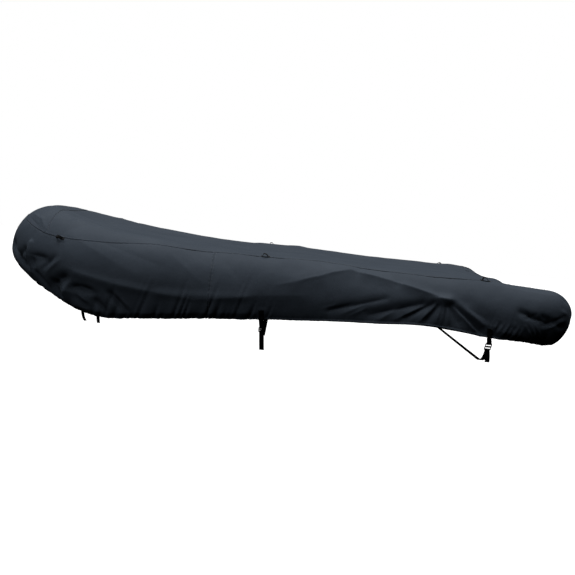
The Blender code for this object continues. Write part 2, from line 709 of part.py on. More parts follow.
def box_mesh(name, size, edge=0.0):
    bm = bmesh.new()
    bmesh.ops.create_cube(bm, size=1)
    bmesh.ops.scale(bm, vec=size, verts=bm.verts)
    if edge:
        bmesh.ops.bevel(bm, geom=bm.edges, offset=edge, segments=1, affect="EDGES")
    mesh = bpy.data.meshes.new(name)
    bm.to_mesh(mesh)
    bm.free()
    return mesh


def buckle(name, x, sewn, angle):
    """A flat plastic frame with two windows, which lies along the roll."""
    centre, outward, up = buckle_frame(angle, x, sewn)
    turn = Matrix((outward.cross(up), outward, up)).transposed()
    mesh = box_mesh(name, BUCKLE_SIZE, 0.001)
    piece = place(f"{name}_buckle", mesh, BUCKLE_FINISH)
    piece.matrix_world = Matrix.Translation(centre) @ turn.to_4x4()
    size = (BUCKLE_WINDOW[0], BUCKLE_SIZE[1] * 3, BUCKLE_WINDOW[1])
    window_z = BUCKLE_SIZE[2] / 2 - BUCKLE_BAR - BUCKLE_WINDOW[1] / 2
    for level, height in (("high", window_z), ("low", -window_z)):
        cutter_name = f"{name}_buckle_{level}_window"
        cutter = bpy.data.objects.new(cutter_name, box_mesh(cutter_name, size))
        bpy.data.collections["cutters"].objects.link(cutter)
        cutter.matrix_world = piece.matrix_world @ Matrix.Translation((0, 0, height))
        cutter.hide_render = True
        cutter.display_type = "WIRE"
        cut = piece.modifiers.new(f"{level} window", "BOOLEAN")
        cut.operation = "DIFFERENCE"
        cut.object = cutter
    mesh.set_sharp_from_angle(angle=math.radians(30))
    return piece


def loop(name, along, past, span, width, rise, forward, slump, bed):
    """A webbing loop: two feet sewn on the seam and an arch between them."""
    port = name.startswith("port")
    down = seam_down(crown_line(along)[0][0]) + past
    _, normal = side_point(along, down, port)
    step = 0.01
    before = side_point(along - step, down, port)[0]
    after = side_point(along + step, down, port)[0]
    aft = (after - before).normalized()
    down_way = normal.cross(aft).normalized()
    if down_way.z > 0:
        down_way.negate()
    inner = span * (0.5 - LOOP_FOOT)
    arch = [(-span / 2, 0.0), (-inner - 0.002, 0.0)]
    for turn in np.linspace(180 - ARCH_START, ARCH_START, 7).tolist():
        turn = math.radians(turn)
        arch.append((inner * math.cos(turn), rise * math.sin(turn)))
    arch += [(inner + 0.002, 0.0), (span / 2, 0.0)]
    shift = down_way * slump - aft * forward
    route = []
    for t, height in arch:
        surface, out = side_point(along + t, down, port)
        route.append(surface + out * (WEBBING / 2 + 2 * CLEAR + height) + shift * height / rise)
    rows = strip_rows(route, [down_way] * len(route), width)
    for i in (0, 1, -2, -1):
        rows[i] = [pressed(bed, point, normal) for point in rows[i]]
    return webbing(f"{name}_loop", rows)


def tie(name, along, length, turn, curl, bed):
    """A tie sewn inside the bow hem, whose free end hangs plumb."""
    out = Vector((*crown_line(along)[1], 0))
    aft = Vector((-out.y, out.x, 0))
    rows = []
    for above_hem in (TIE_SEWN, 0.75 * TIE_SEWN, TIE_SEWN / 2, 0):
        rows.append(cloth_row(along, TIE_WIDTH, above_hem, True, bed, inside=True))
    edge = rows[-1]
    for bend in np.linspace(0, math.pi / 2, 4).tolist():
        drop = Vector((0, 0, TIE_BEND * (1 - math.cos(bend))))
        shift = out * (TIE_PAST_HEM + TIE_BEND * math.sin(bend)) + drop
        rows.append([point - shift for point in edge])
    top = rows[-1][1]
    route, across = [], []
    for share in CURVE_STEPS:
        fall = length * share
        drift = aft * (STRAP_LEAN * fall + curl * share**3)
        route.append(top + drift - Vector((0, 0, fall)))
        across.append(Matrix.Rotation(math.radians(turn) * eased(share * 2), 3, "Z") @ aft)
    rows += strip_rows(route, across, TIE_WIDTH)
    return webbing(f"{name}_bow_tie", rows)


def build():
    for piece in list(bpy.data.objects):
        bpy.data.objects.remove(piece)
    for name in ("boat_cover", "cutters"):
        group = bpy.data.collections.new(name)
        bpy.context.scene.collection.children.link(group)
    panels = [top_panel(), bow_cap(), bow_panel(), side_panel(True), side_panel(False)]
    panels.append(stern_panel())
    bed = cloth_bed(panels)
    for name, x, sewn, angle, tail in STRAPS:
        anchor_strap(name, x, sewn, angle, bed)
        belly_strap(name, x, sewn, angle, tail, bed)
        buckle(name, x, sewn, angle)
    for row in LOOPS:
        loop(*row, bed)
    for row in TIES:
        tie(*row, bed)


build()
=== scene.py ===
"""Looks of a fitted boat cover: coated cloth panels with their folds, gathers and sewn
seams, webbing loops, belly straps with buckles, bow ties, and a plain studio round it.

Metres, +Z up. The bow end points to -X and the port side to -Y. The panels are sheets on
the same cross-sections and main folds as the frame's solids, with finer folds on them.
"""

import json
import math
from contextlib import contextmanager
from functools import lru_cache

import bmesh
import bpy
import numpy as np
from bpy.props import FloatProperty, FloatVectorProperty, PointerProperty
from mathutils import Matrix, Vector
from mathutils.bvhtree import BVHTree

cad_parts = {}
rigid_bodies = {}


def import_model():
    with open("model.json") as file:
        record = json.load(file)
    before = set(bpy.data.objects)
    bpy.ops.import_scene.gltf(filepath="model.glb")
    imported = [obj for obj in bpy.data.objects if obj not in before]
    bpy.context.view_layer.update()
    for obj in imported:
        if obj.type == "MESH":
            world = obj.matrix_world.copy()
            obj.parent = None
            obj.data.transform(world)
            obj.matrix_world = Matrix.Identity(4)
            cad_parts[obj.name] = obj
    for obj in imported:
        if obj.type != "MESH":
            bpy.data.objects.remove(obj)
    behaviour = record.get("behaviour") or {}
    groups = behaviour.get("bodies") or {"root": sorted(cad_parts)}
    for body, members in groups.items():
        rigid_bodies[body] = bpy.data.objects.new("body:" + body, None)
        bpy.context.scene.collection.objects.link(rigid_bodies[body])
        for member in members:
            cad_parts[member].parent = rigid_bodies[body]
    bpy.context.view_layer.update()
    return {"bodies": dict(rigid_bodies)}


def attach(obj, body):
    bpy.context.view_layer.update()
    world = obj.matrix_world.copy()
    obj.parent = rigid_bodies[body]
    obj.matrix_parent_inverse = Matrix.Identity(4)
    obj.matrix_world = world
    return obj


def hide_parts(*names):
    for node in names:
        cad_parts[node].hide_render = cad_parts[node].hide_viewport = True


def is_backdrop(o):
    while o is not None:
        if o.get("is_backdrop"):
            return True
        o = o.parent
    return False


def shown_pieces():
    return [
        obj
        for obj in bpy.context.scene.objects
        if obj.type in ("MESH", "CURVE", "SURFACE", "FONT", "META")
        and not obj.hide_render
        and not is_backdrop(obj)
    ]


bl_info = {
    "name": "Boat Cover Looks",
    "version": (1, 0, 0),
    "blender": (4, 5, 0),
    "location": "View3D > Sidebar > Boat Cover",
    "description": "Dresses the boat cover's frame with its cloth, webbing and plastic",
    "category": "Object",
}

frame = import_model()
BODY = next(iter(frame["bodies"]))

# ---------------------------------------------------------------- driving dimensions
# These repeat the sizes of the frame's solids.
SEAM_GAP = 0.0008  # between the faces of two panels at a seam
CLEAR = 0.0003  # between a fitting and what it touches

HALF_SPAN = 0.55  # centreline to the crown line of each side roll
BOW_LENGTH = 0.71  # the stretch in which the crown lines curve in to the bow
BOW_BEND_X = -0.58  # where they start to curve
TRANSOM_X = 1.22  # aft edge of the top panel
STERN_X = 1.415  # centre of the rounded end of each stern sock
STERN_REACH = 0.148  # radius of that rounded end

SIDE_SEAM_X = -0.305  # upright seam between bow panel and side panel
CAP_SEAM_X = -1.20  # cross seam between bow cap and top panel
STARBOARD_SOCK_DROP = 0.034  # the starboard sock droops this much more at its end
TOP_SAG = 0.012  # how far the top panel sags between the side rolls
TOP_SAG_IN = 0.30  # distance in from the crown line at which it is full
TOP_TAUT = 0.40  # length before the aft edge in which the sag goes

HEM_ROLL = 0.014  # height of the gathered elastic hem
HEM_ROLL_OUT = 0.005  # how far it stands out

WEBBING = 0.0016  # thickness of all webbing
STRAP_WIDTH = 0.025
STRAP_RADIUS = 0.2155  # the straps are drawn round under the side rolls at this radius
STRAP_LEAN = 0.096  # how far a strap or tie drifts aft for each metre down
STRAP_TURN_BACK = 0.014  # end of the short strap, turned back behind a buckle's bar
TURN_PAST_HEM = 8.0  # degrees in which a belly strap leaves the hem for its own round
BELOW_BUCKLE = 0.008  # where it leaves that round again, below the buckle
TAIL_BOW = 0.006  # how far its free end bows out as it hangs

BUCKLE_SIZE = (0.034, 0.0045, 0.044)  # width, thickness, height
BUCKLE_WINDOW = (0.0270, 0.0115)  # width and height of each of its two windows
BUCKLE_BAR = 0.006  # height of the bars above and below the windows
BUCKLE_EDGE = 0.0009  # rounding of its edges
BUCKLE_CORNERS = (0.005, 0.0022)  # radius of its own corners and of its windows'

TIE_WIDTH = 0.017
TIE_SEWN = 0.030  # length of a tie sewn inside the hem
TIE_PAST_HEM = 0.003  # how far it runs in past the hem
TIE_BEND = 0.005  # radius at which it turns down there
HEM_CLEAR = 0.0012  # further clearance of webbing where it passes the hem
PRESS_FROM = 0.030  # distance from which a fitting is pressed to the cloth
PRESS_REACH = 0.006  # how far round a point the cloth holds webbing up
STRAP_PITCH = 0.009
CURVE_STEPS = np.linspace(0.2, 1.0, 5).tolist()  # shares of a hanging end

# The cloth's cross-section along a side roll, a row for each place on the crown line:
# heights of the crown, the widest point and the hem, the reach of the widest point
# out from the crown line, how far the hem tucks back in, and the seam's angle down
# from the crown in degrees.
SECTION_COLUMNS = ("x", "crown", "flank", "hem", "reach", "tuck", "seam_angle")
SECTIONS = (
    (-1.29, 0.153, -0.096, -0.215, 0.232, 0.150, 42.0),
    (-1.22, 0.140, -0.103, -0.240, 0.227, 0.125, 48.0),
    (-1.10, 0.111, -0.116, -0.292, 0.221, 0.100, 54.0),
    (-0.95, 0.084, -0.135, -0.345, 0.217, 0.080, 51.0),
    (-0.80, 0.062, -0.148, -0.367, 0.215, 0.060, 42.0),
    (-0.60, 0.040, -0.165, -0.347, 0.214, 0.050, 28.0),
    (-0.40, 0.027, -0.177, -0.325, 0.213, 0.045, 25.0),
    (-0.10, 0.013, -0.190, -0.302, 0.213, 0.032, 15.0),
    (0.20, 0.017, -0.193, -0.280, 0.213, 0.018, 15.0),
    (0.50, 0.007, -0.203, -0.265, 0.213, 0.009, 19.0),
    (0.80, 0.001, -0.212, -0.252, 0.213, 0.005, 20.0),
    (0.95, 0.000, -0.213, -0.264, 0.213, 0.006, 17.0),
    (1.08, -0.007, -0.212, -0.278, 0.213, 0.011, 12.0),
    (1.22, -0.021, -0.206, -0.286, 0.200, 0.025, 0.0),
    (1.30, -0.026, -0.192, -0.292, 0.180, 0.050, 0.0),
    (1.415, -0.031, -0.152, -0.310, 0.148, 0.120, 0.0),
)

# The stern panel, a row for each cross-section from the end of a sock to the
# centreline: share of the way, top edge and hem in plan, height of the hem, and how
# far the cloth bulges out from its top edge.
STERN_COLUMNS = ("share", "top_x", "top_y", "hem_x", "hem_y", "hem", "bulge")
STERN_SECTIONS = (
    (0.00, 1.415, -0.550, 1.415, -0.520, -0.310, 0.190),
    (0.15, 1.340, -0.550, 1.340, -0.440, -0.300, 0.215),
    (0.28, 1.270, -0.550, 1.295, -0.385, -0.290, 0.225),
    (0.40, 1.221, -0.540, 1.272, -0.345, -0.285, 0.210),
    (0.52, 1.221, -0.460, 1.262, -0.290, -0.280, 0.140),
    (0.66, 1.221, -0.350, 1.256, -0.235, -0.276, 0.085),
    (0.82, 1.221, -0.190, 1.252, -0.140, -0.274, 0.060),
    (1.00, 1.221, 0.000, 1.250, 0.000, -0.274, 0.055),
)
SOCK_SHARE = 0.25  # share of the way in which the panel leaves the sock's own round
STERN_ROWS = 44  # points down the stern panel
STERN_COUNT = 90  # rows of it from a sock to the centreline
STERN_CALM = 0.10  # distance from its ends in which its unevenness fades
STERN_GATHERS = (0.034, 0.0036, 0.06)  # pitch, height and reach of its gathers

# Main folds of each side, a row for each: where it starts and ends, as the distance
# along the crown line from the bow tip and the distance down the cloth from the crown,
# its half-width at both ends and its height, which is negative for a trough.
# Columns: along0, down0, along1, down1, width0, width1, height.
PORT_FOLDS = (
    # the long shoulder held up from inside, and the hard point at its aft end
    (1.70, 0.225, 1.80, 0.185, 0.050, 0.045, 0.009),
    (1.88, 0.150, 1.96, 0.122, 0.045, 0.040, 0.010),
    (2.04, 0.135, 2.16, 0.160, 0.035, 0.035, 0.010),
    (2.24, 0.178, 2.36, 0.212, 0.032, 0.030, 0.009),
    (2.40, 0.235, 2.46, 0.235, 0.030, 0.030, 0.016),
    # the fan of folds below it
    (2.33, 0.262, 2.07, 0.345, 0.020, 0.032, -0.010),
    (2.14, 0.262, 1.88, 0.350, 0.022, 0.026, -0.005),
    (2.385, 0.255, 2.25, 0.340, 0.017, 0.022, -0.009),
    (2.41, 0.268, 2.36, 0.345, 0.016, 0.020, -0.007),
    (2.46, 0.265, 2.51, 0.335, 0.020, 0.028, -0.010),
    (2.48, 0.255, 2.63, 0.360, 0.018, 0.018, -0.011),
    (2.52, 0.255, 2.63, 0.330, 0.022, 0.022, 0.005),
    (2.56, 0.240, 2.66, 0.300, 0.040, 0.040, -0.006),
    # the edge where the cloth turns under the flank
    (0.66, 0.362, 0.95, 0.372, 0.022, 0.022, 0.005),
    (1.02, 0.375, 1.44, 0.330, 0.022, 0.022, 0.005),
    # the bow: a deep V, a sharp upright fold and its hollows, and the slack round folds
    (0.20, 0.350, 0.33, 0.415, 0.032, 0.024, -0.014),
    (0.35, 0.340, 0.37, 0.415, 0.020, 0.024, -0.010),
    (0.388, 0.290, 0.396, 0.440, 0.014, 0.016, 0.008),
    (0.43, 0.372, 0.49, 0.345, 0.024, 0.018, -0.008),
    (0.44, 0.438, 0.49, 0.500, 0.016, 0.020, -0.009),
    (0.60, 0.400, 0.54, 0.455, 0.024, 0.028, -0.014),
    (0.53, 0.485, 0.57, 0.530, 0.028, 0.024, -0.013),
    (0.61, 0.470, 0.60, 0.520, 0.018, 0.018, 0.008),
    (0.65, 0.445, 0.73, 0.435, 0.022, 0.020, -0.010),
    (0.66, 0.490, 0.70, 0.510, 0.024, 0.024, -0.008),
    (0.82, 0.420, 0.88, 0.490, 0.016, 0.020, -0.008),
    (0.76, 0.480, 0.79, 0.520, 0.018, 0.018, -0.008),
    # the stern sock: two long slack folds and the first gathers
    (2.83, 0.232, 2.97, 0.250, 0.020, 0.026, -0.009),
    (2.95, 0.222, 3.07, 0.262, 0.014, 0.018, -0.007),
    (2.72, 0.315, 2.70, 0.375, 0.014, 0.016, -0.005),
    (2.79, 0.320, 2.77, 0.375, 0.014, 0.016, -0.005),
)
STARBOARD_FOLDS = (
    # the crown is held up beside the middle loop and at the corner of the top panel
    (1.50, -0.010, 1.70, 0.010, 0.060, 0.060, 0.011),
    (2.72, -0.020, 2.84, 0.000, 0.060, 0.050, 0.016),
    # shoulder, hard point and fan
    (1.74, 0.215, 1.98, 0.130, 0.048, 0.040, 0.009),
    (2.08, 0.150, 2.34, 0.215, 0.034, 0.030, 0.009),
    (2.37, 0.238, 2.43, 0.236, 0.030, 0.030, 0.015),
    (2.30, 0.265, 2.06, 0.340, 0.024, 0.030, -0.009),
    (2.36, 0.265, 2.24, 0.340, 0.022, 0.024, -0.009),
    (2.43, 0.265, 2.46, 0.340, 0.024, 0.028, -0.009),
    (2.46, 0.255, 2.62, 0.365, 0.024, 0.024, -0.010),
    # the edge under the flank
    (0.70, 0.365, 1.42, 0.335, 0.024, 0.024, 0.005),
    # slack folds of the bow and the sock
    (0.24, 0.345, 0.34, 0.415, 0.032, 0.026, -0.012),
    (0.50, 0.385, 0.46, 0.460, 0.026, 0.026, -0.010),
    (0.63, 0.415, 0.58, 0.510, 0.026, 0.026, -0.012),
    (0.74, 0.440, 0.81, 0.500, 0.024, 0.024, -0.009),
    (0.92, 0.420, 0.97, 0.485, 0.024, 0.024, -0.007),
    (2.81, 0.235, 2.99, 0.260, 0.024, 0.026, -0.009),
)

LOOP_FOOT = 0.22  # share of a loop's span that is sewn down at each end
ARCH_START = 22.0  # degrees round its arch at which it leaves the feet
ARCH_GAP = 0.002  # from a foot to where its arch begins
# Webbing loops on the long seams, a row for each: its place along the crown line and
# down the cloth past the seam, the length that it spans, its width, how far its arch
# rises, and how far the arch slumps towards the bow and down the cloth.
# Columns: name, along, past, span, width, rise, forward, slump.
LOOPS = (
    ("port_bow", 0.540, 0.006, 0.044, 0.016, 0.020, 0.004, 0.004),
    ("port_middle", 1.528, 0.000, 0.046, 0.018, 0.015, 0.006, 0.000),
    ("port_stern", 2.668, 0.000, 0.052, 0.022, 0.019, 0.005, 0.002),
    ("starboard_bow", 0.550, 0.006, 0.044, 0.016, 0.018, -0.003, 0.003),
    ("starboard_middle", 1.530, 0.000, 0.046, 0.018, 0.017, 0.003, 0.000),
    ("starboard_stern", 2.660, 0.006, 0.052, 0.022, 0.014, 0.003, 0.003),
)

# Belly straps, a row for each: x at the upper end, length sewn to the cloth above the
# hem, the buckle's angle round the roll from its crown, and the free end's length.
# Columns: name, x, sewn, buckle_angle, tail.
STRAPS = (
    ("middle", -0.040, 0.057, 140.0, 0.090),
    ("stern", 1.100, 0.050, 122.0, 0.062),
)

# Ties that hang from inside the bow hem, a row for each: place along the crown line,
# length below the hem, turn of the webbing from facing outward, and its end's curl aft.
# Columns: name, along, length, turn, curl.
TIES = (("fore", 0.655, 0.056, 70.0, 0.016), ("aft", 0.740, 0.044, 20.0, 0.002))


# ---------------------------------------------------------------- finer folds
CREASE_DEPTH = 1.5  # the heights of all creases, on the sides and the top, times this
# Creases of each side, in the places of the folds above. A crease is
# narrow and sharp, and its height is negative where it is a valley.
# Columns: along0, down0, along1, down1, width, height.
PORT_CREASES = (
    # the long shoulder's edge, up from the flank, along the tent and down to the hard point
    (1.60, 0.255, 1.72, 0.228, 0.012, 0.0020),
    (1.70, 0.230, 1.84, 0.180, 0.010, 0.0034),
    (1.82, 0.182, 1.97, 0.121, 0.009, 0.0036),
    (1.95, 0.121, 2.21, 0.168, 0.009, 0.0038),
    (2.19, 0.165, 2.42, 0.225, 0.009, 0.0042),
    (2.40, 0.231, 2.47, 0.234, 0.010, 0.0060),
    # ridges of the fan below it
    (2.34, 0.270, 2.20, 0.358, 0.009, 0.0050),
    (2.22, 0.292, 2.11, 0.376, 0.010, 0.0042),
    (2.06, 0.290, 1.93, 0.368, 0.010, 0.0030),
    (2.397, 0.258, 2.31, 0.366, 0.007, 0.0046),
    (2.421, 0.262, 2.40, 0.364, 0.006, 0.0044),
    (2.437, 0.275, 2.43, 0.356, 0.005, 0.0034),
    (2.457, 0.262, 2.467, 0.350, 0.006, 0.0042),
    (2.462, 0.244, 2.63, 0.396, 0.007, 0.0072),
    # its valleys
    (2.33, 0.262, 2.07, 0.354, 0.010, -0.0052),
    (2.15, 0.258, 1.87, 0.358, 0.009, -0.0042),
    (2.39, 0.250, 2.25, 0.348, 0.008, -0.0056),
    (2.408, 0.262, 2.36, 0.350, 0.007, -0.0050),
    (2.447, 0.262, 2.45, 0.350, 0.006, -0.0040),
    (2.470, 0.256, 2.51, 0.340, 0.009, -0.0060),
    (2.485, 0.256, 2.67, 0.398, 0.009, -0.0062),
    (2.52, 0.262, 2.64, 0.335, 0.012, 0.0030),
    (2.56, 0.262, 2.67, 0.318, 0.012, -0.0030),
    # small slanting creases at the fan's fore end
    (1.99, 0.300, 1.90, 0.350, 0.006, -0.0022),
    (1.95, 0.318, 1.86, 0.362, 0.006, -0.0024),
    (1.91, 0.318, 1.84, 0.350, 0.006, 0.0018),
    (2.05, 0.320, 1.97, 0.372, 0.007, 0.0022),
    # the bow: a deep V and a sharp upright fold with its hollows
    (0.19, 0.34, 0.27, 0.4, 0.015, -0.0098),
    (0.27, 0.402, 0.34, 0.428, 0.015, -0.0088),
    (0.34, 0.342, 0.29, 0.392, 0.014, -0.0080),
    (0.25, 0.345, 0.29, 0.375, 0.009, 0.0046),
    (0.352, 0.345, 0.388, 0.424, 0.014, -0.0112),
    (0.386, 0.282, 0.395, 0.44, 0.006, 0.0097),
    (0.41, 0.346, 0.5, 0.33, 0.014, -0.0091),
    (0.408, 0.352, 0.414, 0.416, 0.015, -0.0115),
    (0.44, 0.436, 0.48, 0.5, 0.015, -0.0091),
    (0.545, 0.31, 0.48, 0.398, 0.012, -0.0088),
    (0.575, 0.318, 0.51, 0.402, 0.009, 0.0049),
    (0.61, 0.394, 0.565, 0.432, 0.017, -0.0105),
    (0.565, 0.432, 0.53, 0.476, 0.019, -0.0126),
    (0.53, 0.476, 0.565, 0.54, 0.019, -0.0109),
    (0.625, 0.42, 0.585, 0.5, 0.010, 0.0065),
    (0.64, 0.446, 0.68, 0.421, 0.015, -0.0088),
    (0.68, 0.421, 0.74, 0.434, 0.015, -0.0084),
    (0.67, 0.47, 0.72, 0.5, 0.010, 0.0046),
    (0.815, 0.416, 0.88, 0.494, 0.012, -0.0109),
    (0.845, 0.412, 0.91, 0.488, 0.008, 0.0049),
    (0.755, 0.474, 0.79, 0.52, 0.014, -0.0088),
    (0.20, 0.138, 0.35, 0.146, 0.009, 0.0022),
    (0.22, 0.165, 0.38, 0.190, 0.010, -0.0018),
    (0.30, 0.120, 0.42, 0.185, 0.010, 0.0020),
    # faint drags on the fore side
    (0.58, 0.170, 0.92, 0.300, 0.022, 0.0018),
    (0.70, 0.160, 1.08, 0.250, 0.024, -0.0016),
    (1.04, 0.150, 1.24, 0.300, 0.016, 0.0014),
    (1.30, 0.120, 1.42, 0.260, 0.018, -0.0014),
    # the stern sock: short gathers, crossed dents, fanned lines and a leaf-shaped fold
    (2.675, 0.380, 2.715, 0.306, 0.006, 0.0046),
    (2.702, 0.382, 2.742, 0.306, 0.006, 0.0044),
    (2.730, 0.380, 2.772, 0.302, 0.006, 0.0046),
    (2.760, 0.376, 2.800, 0.296, 0.006, 0.0042),
    (2.790, 0.370, 2.828, 0.292, 0.006, 0.0038),
    (2.820, 0.368, 2.852, 0.290, 0.006, 0.0034),
    (2.850, 0.214, 2.912, 0.256, 0.006, -0.0042),
    (2.850, 0.258, 2.912, 0.216, 0.006, -0.0040),
    (2.855, 0.288, 2.910, 0.350, 0.005, 0.0040),
    (2.885, 0.280, 2.940, 0.346, 0.005, 0.0040),
    (2.915, 0.276, 2.965, 0.340, 0.005, 0.0034),
    (2.83, 0.226, 2.98, 0.254, 0.008, -0.0056),
    (2.94, 0.272, 3.06, 0.206, 0.006, -0.0046),
    (2.96, 0.286, 3.08, 0.222, 0.007, 0.0034),
    (3.085, 0.088, 3.115, 0.148, 0.007, -0.0044),
    (3.045, 0.180, 3.085, 0.196, 0.010, 0.0036),
    (3.12, 0.180, 3.24, 0.300, 0.010, -0.0034),
    (3.20, 0.120, 3.32, 0.260, 0.012, 0.0030),
)
# Where the cloth turns under, along the flank and the stern end: edges as above, with
# wide skirts.
TURNS = (
    (0.62, 0.350, 0.84, 0.366, 0.075, 0.008),
    (0.84, 0.366, 1.20, 0.377, 0.075, 0.010),
    (1.20, 0.377, 1.50, 0.316, 0.070, 0.010),
    (1.50, 0.316, 1.72, 0.298, 0.060, 0.006),
    (2.72, 0.090, 3.12, 0.085, 0.070, 0.007),
)
STARBOARD_CREASES = (
    (1.74, 0.216, 1.98, 0.130, 0.010, 0.0034),
    (1.96, 0.132, 2.34, 0.215, 0.010, 0.0034),
    (2.36, 0.236, 2.43, 0.236, 0.010, 0.0055),
    (2.30, 0.262, 2.06, 0.345, 0.010, -0.0050),
    (2.28, 0.276, 2.16, 0.352, 0.009, 0.0044),
    (2.36, 0.262, 2.24, 0.345, 0.008, -0.0050),
    (2.385, 0.262, 2.33, 0.352, 0.007, 0.0044),
    (2.43, 0.262, 2.46, 0.345, 0.009, -0.0048),
    (2.44, 0.246, 2.60, 0.385, 0.008, 0.0062),
    (2.46, 0.252, 2.62, 0.370, 0.009, -0.0052),
    (0.24, 0.340, 0.34, 0.418, 0.009, -0.0050),
    (0.30, 0.330, 0.40, 0.400, 0.008, 0.0036),
    (0.50, 0.380, 0.46, 0.465, 0.009, -0.0056),
    (0.53, 0.385, 0.49, 0.470, 0.008, 0.0040),
    (0.63, 0.412, 0.58, 0.515, 0.009, -0.0058),
    (0.66, 0.420, 0.62, 0.505, 0.008, 0.0040),
    (0.74, 0.436, 0.81, 0.505, 0.008, -0.0052),
    (0.92, 0.416, 0.97, 0.490, 0.008, -0.0046),
    (0.60, 0.170, 0.95, 0.290, 0.022, 0.0018),
    (2.69, 0.375, 2.74, 0.300, 0.007, 0.0042),
    (2.74, 0.372, 2.79, 0.296, 0.007, 0.0042),
    (2.79, 0.368, 2.83, 0.290, 0.007, 0.0038),
    (2.81, 0.232, 2.99, 0.262, 0.009, -0.0050),
    (2.95, 0.270, 3.08, 0.215, 0.008, 0.0036),
    (3.10, 0.110, 3.20, 0.210, 0.010, -0.0036),
)

# Creases of the cover's top, in plan: most are drags from the loops, the cap seam and
# the corners of the aft edge.
# Columns: x0, y0, x1, y1, width, height.
TOP_CREASES = (
    (-1.10, -0.560, -0.93, -0.260, 0.016, 0.0026),
    (-1.09, -0.570, -0.80, -0.400, 0.016, -0.0024),
    (-1.11, -0.540, -1.08, -0.220, 0.014, -0.0022),
    (-0.92, -0.560, -0.70, -0.360, 0.020, 0.0024),
    (-0.80, -0.570, -0.52, -0.420, 0.022, -0.0020),
    (-0.06, -0.590, -0.36, -0.400, 0.014, 0.0022),
    (-0.05, -0.590, -0.20, -0.320, 0.016, -0.0020),
    (-0.02, -0.590, 0.22, -0.380, 0.016, 0.0020),
    (1.08, -0.560, 0.78, -0.380, 0.018, 0.0026),
    (1.19, -0.500, 0.92, -0.220, 0.020, -0.0028),
    (1.20, -0.400, 1.02, -0.080, 0.020, 0.0024),
    (1.21, -0.120, 1.00, 0.200, 0.022, -0.0020),
    (1.10, 0.570, 0.80, 0.400, 0.018, 0.0026),
    (1.19, 0.500, 0.95, 0.240, 0.020, -0.0028),
    (-0.05, 0.600, -0.30, 0.420, 0.016, 0.0022),
    (-0.02, 0.600, 0.26, 0.430, 0.016, -0.0020),
    (-1.09, 0.560, -0.94, 0.300, 0.016, 0.0026),
    (-1.08, 0.570, -0.82, 0.420, 0.016, -0.0022),
    (-0.62, -0.180, -0.20, 0.120, 0.050, 0.0026),
    (0.16, 0.220, 0.66, -0.160, 0.055, -0.0026),
    (-1.25, -0.320, -1.32, -0.120, 0.016, 0.0024),
    (-1.24, -0.060, -1.38, 0.020, 0.018, -0.0022),
    (-1.25, 0.200, -1.34, 0.340, 0.016, 0.0024),
)

# Slow unevenness of tensioned cloth: wavelength, direction in degrees, height, phase.
WAVES = (
    (0.41, 24.0, 0.0013, 0.4),
    (0.27, -52.0, 0.0009, 1.9),
    (0.163, 71.0, 0.0005, 3.1),
    (0.118, -18.0, 0.00035, 5.2),
    (0.071, 38.0, 0.00018, 2.2),
)

# Gathers above the elastic hem, a row for each stretch: from and to along the crown line,
# pitch, height and how far up the cloth they reach.
GATHERS = (
    (0.00, 0.78, 0.050, 0.0130, 0.085),
    (0.78, 1.58, 0.043, 0.0160, 0.100),
    (1.58, 2.62, 0.026, 0.0020, 0.024),
    (2.62, 3.46, 0.030, 0.0060, 0.070),
)
GATHER_LEAN = 0.34  # how far a gather leans aft for each metre up the cloth
GATHER_RISE = 0.045  # height above the hem at which it is full
GATHER_BLEND = 0.05  # length in which one stretch passes into the next
HEM_TURN_UP = 0.042  # how far above the hem the cloth turns in
HEM_TURN = 0.0085  # how far it stands out there
HEM_TURN_SKIRTS = (0.075, 0.022)  # how far that reaches up and down the cloth
HEM_TURN_START = 0.45  # from where on it stands out, along the crown line
HEM_TURN_PAUSE = (1.42, 2.78)  # a stretch in which it doesn't
HEM_TURN_BLEND = 0.15  # length in which it comes and goes
PUCKER_PITCH = 0.0125  # small puckers of the elastic itself
PUCKER_HEIGHT = 0.0011
HEM_BACK = (0.0, 0.004, 0.011)  # the cloth behind the hem's roll: how far up it runs
HEM_BACK_DEPTHS = (0.0022, 0.0042, 0.0046)  # and how far inside the outer face
HEM_BACK_DROP = 0.0012  # how much lower its first row hangs

SEAM_LAP = 0.006  # how far the upper sheet of a seam laps over the other
SEAM_BAND = 0.014  # width of the stitched band
SEAM_RAISE = 0.0007  # how far the band stands up
SEAM_EDGE = 0.004  # width in which its raised edge falls off
SEAM_GROOVE = 0.0030  # how deep the cloth is drawn in beside the band
SEAM_GROOVE_WIDTH = 0.0025
SEAM_PUCKER = 0.0007  # small puckers along the seam
SEAM_PUCKER_PITCH = 0.017
SEAM_PUCKER_WIDTH = 0.016
BAND_PITCH = 0.002  # grid across the band

TOP_ACROSS = 150  # points across the top panel and the bow cap
TOP_OVERHANG = 0.004  # how far the top panel reaches past the transom
TOP_LAP = 0.012  # how far it turns down there
TOP_RIM_DIP = 0.0006  # how far the top dips beside its long seams
TOP_RIM_WIDTH = 0.03  # and how far in
FITTING_FADE = 0.018  # distance round webbing in which finer folds fade out

STITCH_LENGTH = 0.0028
STITCH_PITCH = 0.0040
STITCH_WIDTH = 0.0007
STITCH_ROWS = (-0.003, 0.006)  # two rows of stitches, as distances down from a seam
HEM_STITCHES = 0.002  # height of the hem's stitches above its roll
SEAM_STEP = 0.004  # spacing of the points that carry a line of stitches
LONG_SEAM_START = 0.02  # where the long seam's stitches start, from the bow tip
HEM_STITCH_END = 0.01  # where the hem's stitches end, before the sock's end
BOX_MARGINS = (0.003, 0.001)  # from a stitched box to the webbing's sides and ends
MERGE = 1e-6  # points closer than this are one


# ---------------------------------------------------------------- the cloth's shape
ARC_STEPS = 90  # points on each quarter of a cross-section
NORMAL_STEP = 0.01  # reach on the cloth over which its slope is taken


